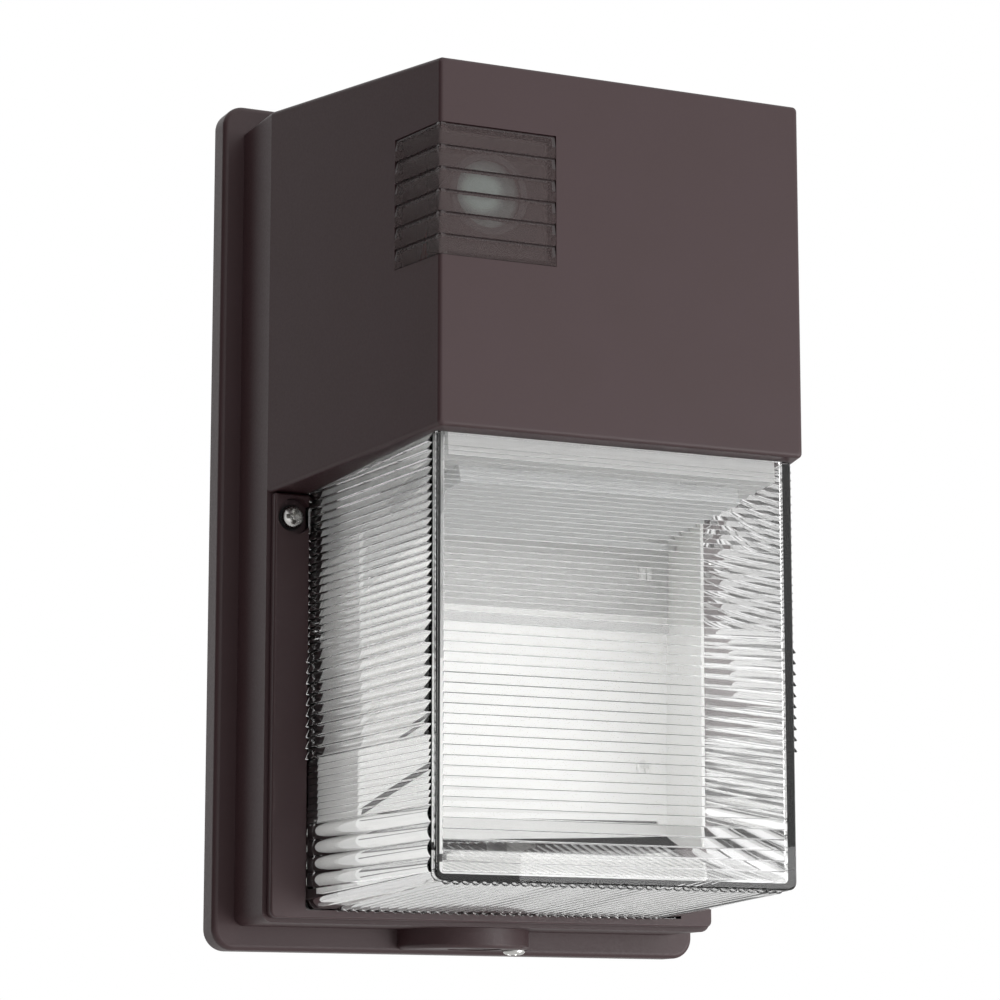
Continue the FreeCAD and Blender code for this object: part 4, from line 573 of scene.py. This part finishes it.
def makeSky(look, toward):
    # a sky that is brighter towards the key and straight above. Seen directly or through glass it is white,
    # and brighter for surfaces inside the glass. A part of it behind the light is white in reflections too
    world = bpy.data.worlds.new("studio sky")
    bpy.context.scene.world = world
    world.use_nodes = True
    tree = world.node_tree
    tree.nodes.clear()
    direction = addNode(tree, "ShaderNodeTexCoord").outputs["Generated"]
    facing = addNode(tree, "ShaderNodeVectorMath", {"operation": "DOT_PRODUCT", 1: toward}, {0: direction})
    level = addNode(tree, "ShaderNodeMapRange", {
        "interpolation_type": "SMOOTHSTEP", "From Min": look["shadeFrom"], "From Max": 1.0,
        "To Min": look["ambient"][0], "To Max": look["ambient"][1]}, {"Value": facing.outputs["Value"]})
    upward = addNode(tree, "ShaderNodeSeparateXYZ", None, {0: direction})
    top = addNode(tree, "ShaderNodeMapRange", {
        "interpolation_type": "SMOOTHSTEP", "From Min": look["overheadEdge"][0],
        "From Max": look["overheadEdge"][1], "To Max": look["overhead"]}, {"Value": upward.outputs["Z"]})
    total = addNode(tree, "ShaderNodeMath", {"operation": "ADD"}, {0: level.outputs[0], 1: top.outputs[0]})
    sky = addNode(tree, "ShaderNodeBackground", {"Color": (1, 1, 1, 1)}, {"Strength": total.outputs[0]})

    path = addNode(tree, "ShaderNodeLightPath")
    front = addNode(tree, "ShaderNodeVectorMath", {"operation": "DOT_PRODUCT", 1: (0, -1, 0)}, {0: direction})
    glass = addNode(tree, "ShaderNodeMapRange", {
        "From Min": 0.0, "From Max": look["glassEdge"], "To Min": look["throughGlass"][0],
        "To Max": look["throughGlass"][1]}, {"Value": front.outputs["Value"]})
    inside = addNode(tree, "ShaderNodeMath", {"operation": "MULTIPLY", "use_clamp": True},
                     {0: path.outputs["Is Transmission Ray"], 1: path.outputs["Diffuse Depth"]})
    bright = addNode(tree, "ShaderNodeMix", {"data_type": "FLOAT", 2: 1.0},
                     {0: inside.outputs[0], 3: glass.outputs[0]})
    white = addNode(tree, "ShaderNodeBackground", {"Color": (1, 1, 1, 1)}, {"Strength": bright.outputs[0]})

    seen = addNode(tree, "ShaderNodeMath", {"operation": "ADD"},
                   {0: path.outputs["Is Camera Ray"], 1: path.outputs["Is Transmission Ray"]})
    behind = addNode(tree, "ShaderNodeVectorMath", {"operation": "DOT_PRODUCT", 1: look["backdrop"]},
                     {0: direction})
    sheet = addNode(tree, "ShaderNodeMapRange", {
        "interpolation_type": "SMOOTHSTEP", "From Min": look["backdropEdge"][0],
        "From Max": look["backdropEdge"][1]}, {"Value": behind.outputs["Value"]})
    mirrored = addNode(tree, "ShaderNodeMath", {"operation": "MULTIPLY"},
                       {0: path.outputs["Is Glossy Ray"], 1: sheet.outputs[0]})
    shown = addNode(tree, "ShaderNodeMath", {"operation": "ADD", "use_clamp": True},
                    {0: seen.outputs[0], 1: mirrored.outputs[0]})
    mix = addNode(tree, "ShaderNodeMixShader", None,
                  {0: shown.outputs[0], 1: sky.outputs[0], 2: white.outputs[0]})
    addNode(tree, "ShaderNodeOutputWorld", None, {"Surface": mix.outputs[0]})


def makeKey(look, toward):
    lamp = bpy.data.lights.new("key lamp", "AREA")
    lamp.size = look["keySize"]
    lamp.energy = look["keyWatts"]
    key = bpy.data.objects.new("key lamp", lamp)
    key.location = toward * look["keyDistance"]
    key.rotation_euler = key.location.to_track_quat("Z", "Y").to_euler()
    bpy.context.collection.objects.link(key)


def makeFloor(look):
    # a disc, its rim points on a circle
    count = look["floorPoints"]
    angle = np.linspace(0, 2 * np.pi, count, endpoint=False)
    rim = np.stack([np.cos(angle), np.sin(angle), np.zeros(count)], 1) * look["floorRadius"]
    rim[:, 2] = look["floorHeight"]
    mesh = bpy.data.meshes.new("floor")
    mesh.from_pydata(rim.tolist(), [], [list(range(count))])
    mesh.materials.append(makeFinish("pale paper floor", look["floorFinish"]))
    floor = bpy.data.objects.new("floor", mesh)
    bpy.context.collection.objects.link(floor)


keyToward = np.array(studio["keyFrom"]) / np.linalg.norm(studio["keyFrom"])
makeSky(studio, keyToward)
makeKey(studio, keyToward)
makeFloor(studio)
bpy.context.scene.view_settings.view_transform = "Standard"


shot = {
    "place": (-0.48749, -1.11405, -0.20725), "azimuth": -24.53, "pitch": 9.5,
    "lens": 115.52, "sensor": 36.0, "shiftY": 0.05,
}


def makeCamera(look):
    view = bpy.data.cameras.new("camera")
    view.lens = look["lens"]
    view.sensor_width = look["sensor"]
    view.shift_y = look["shiftY"]
    camera = bpy.data.objects.new("camera", view)
    camera.location = look["place"]
    camera.rotation_euler = (math.radians(90 + look["pitch"]), 0, math.radians(look["azimuth"]))
    bpy.context.collection.objects.link(camera)
    bpy.context.scene.camera = camera


makeCamera(shot)
print("studio and camera ready")
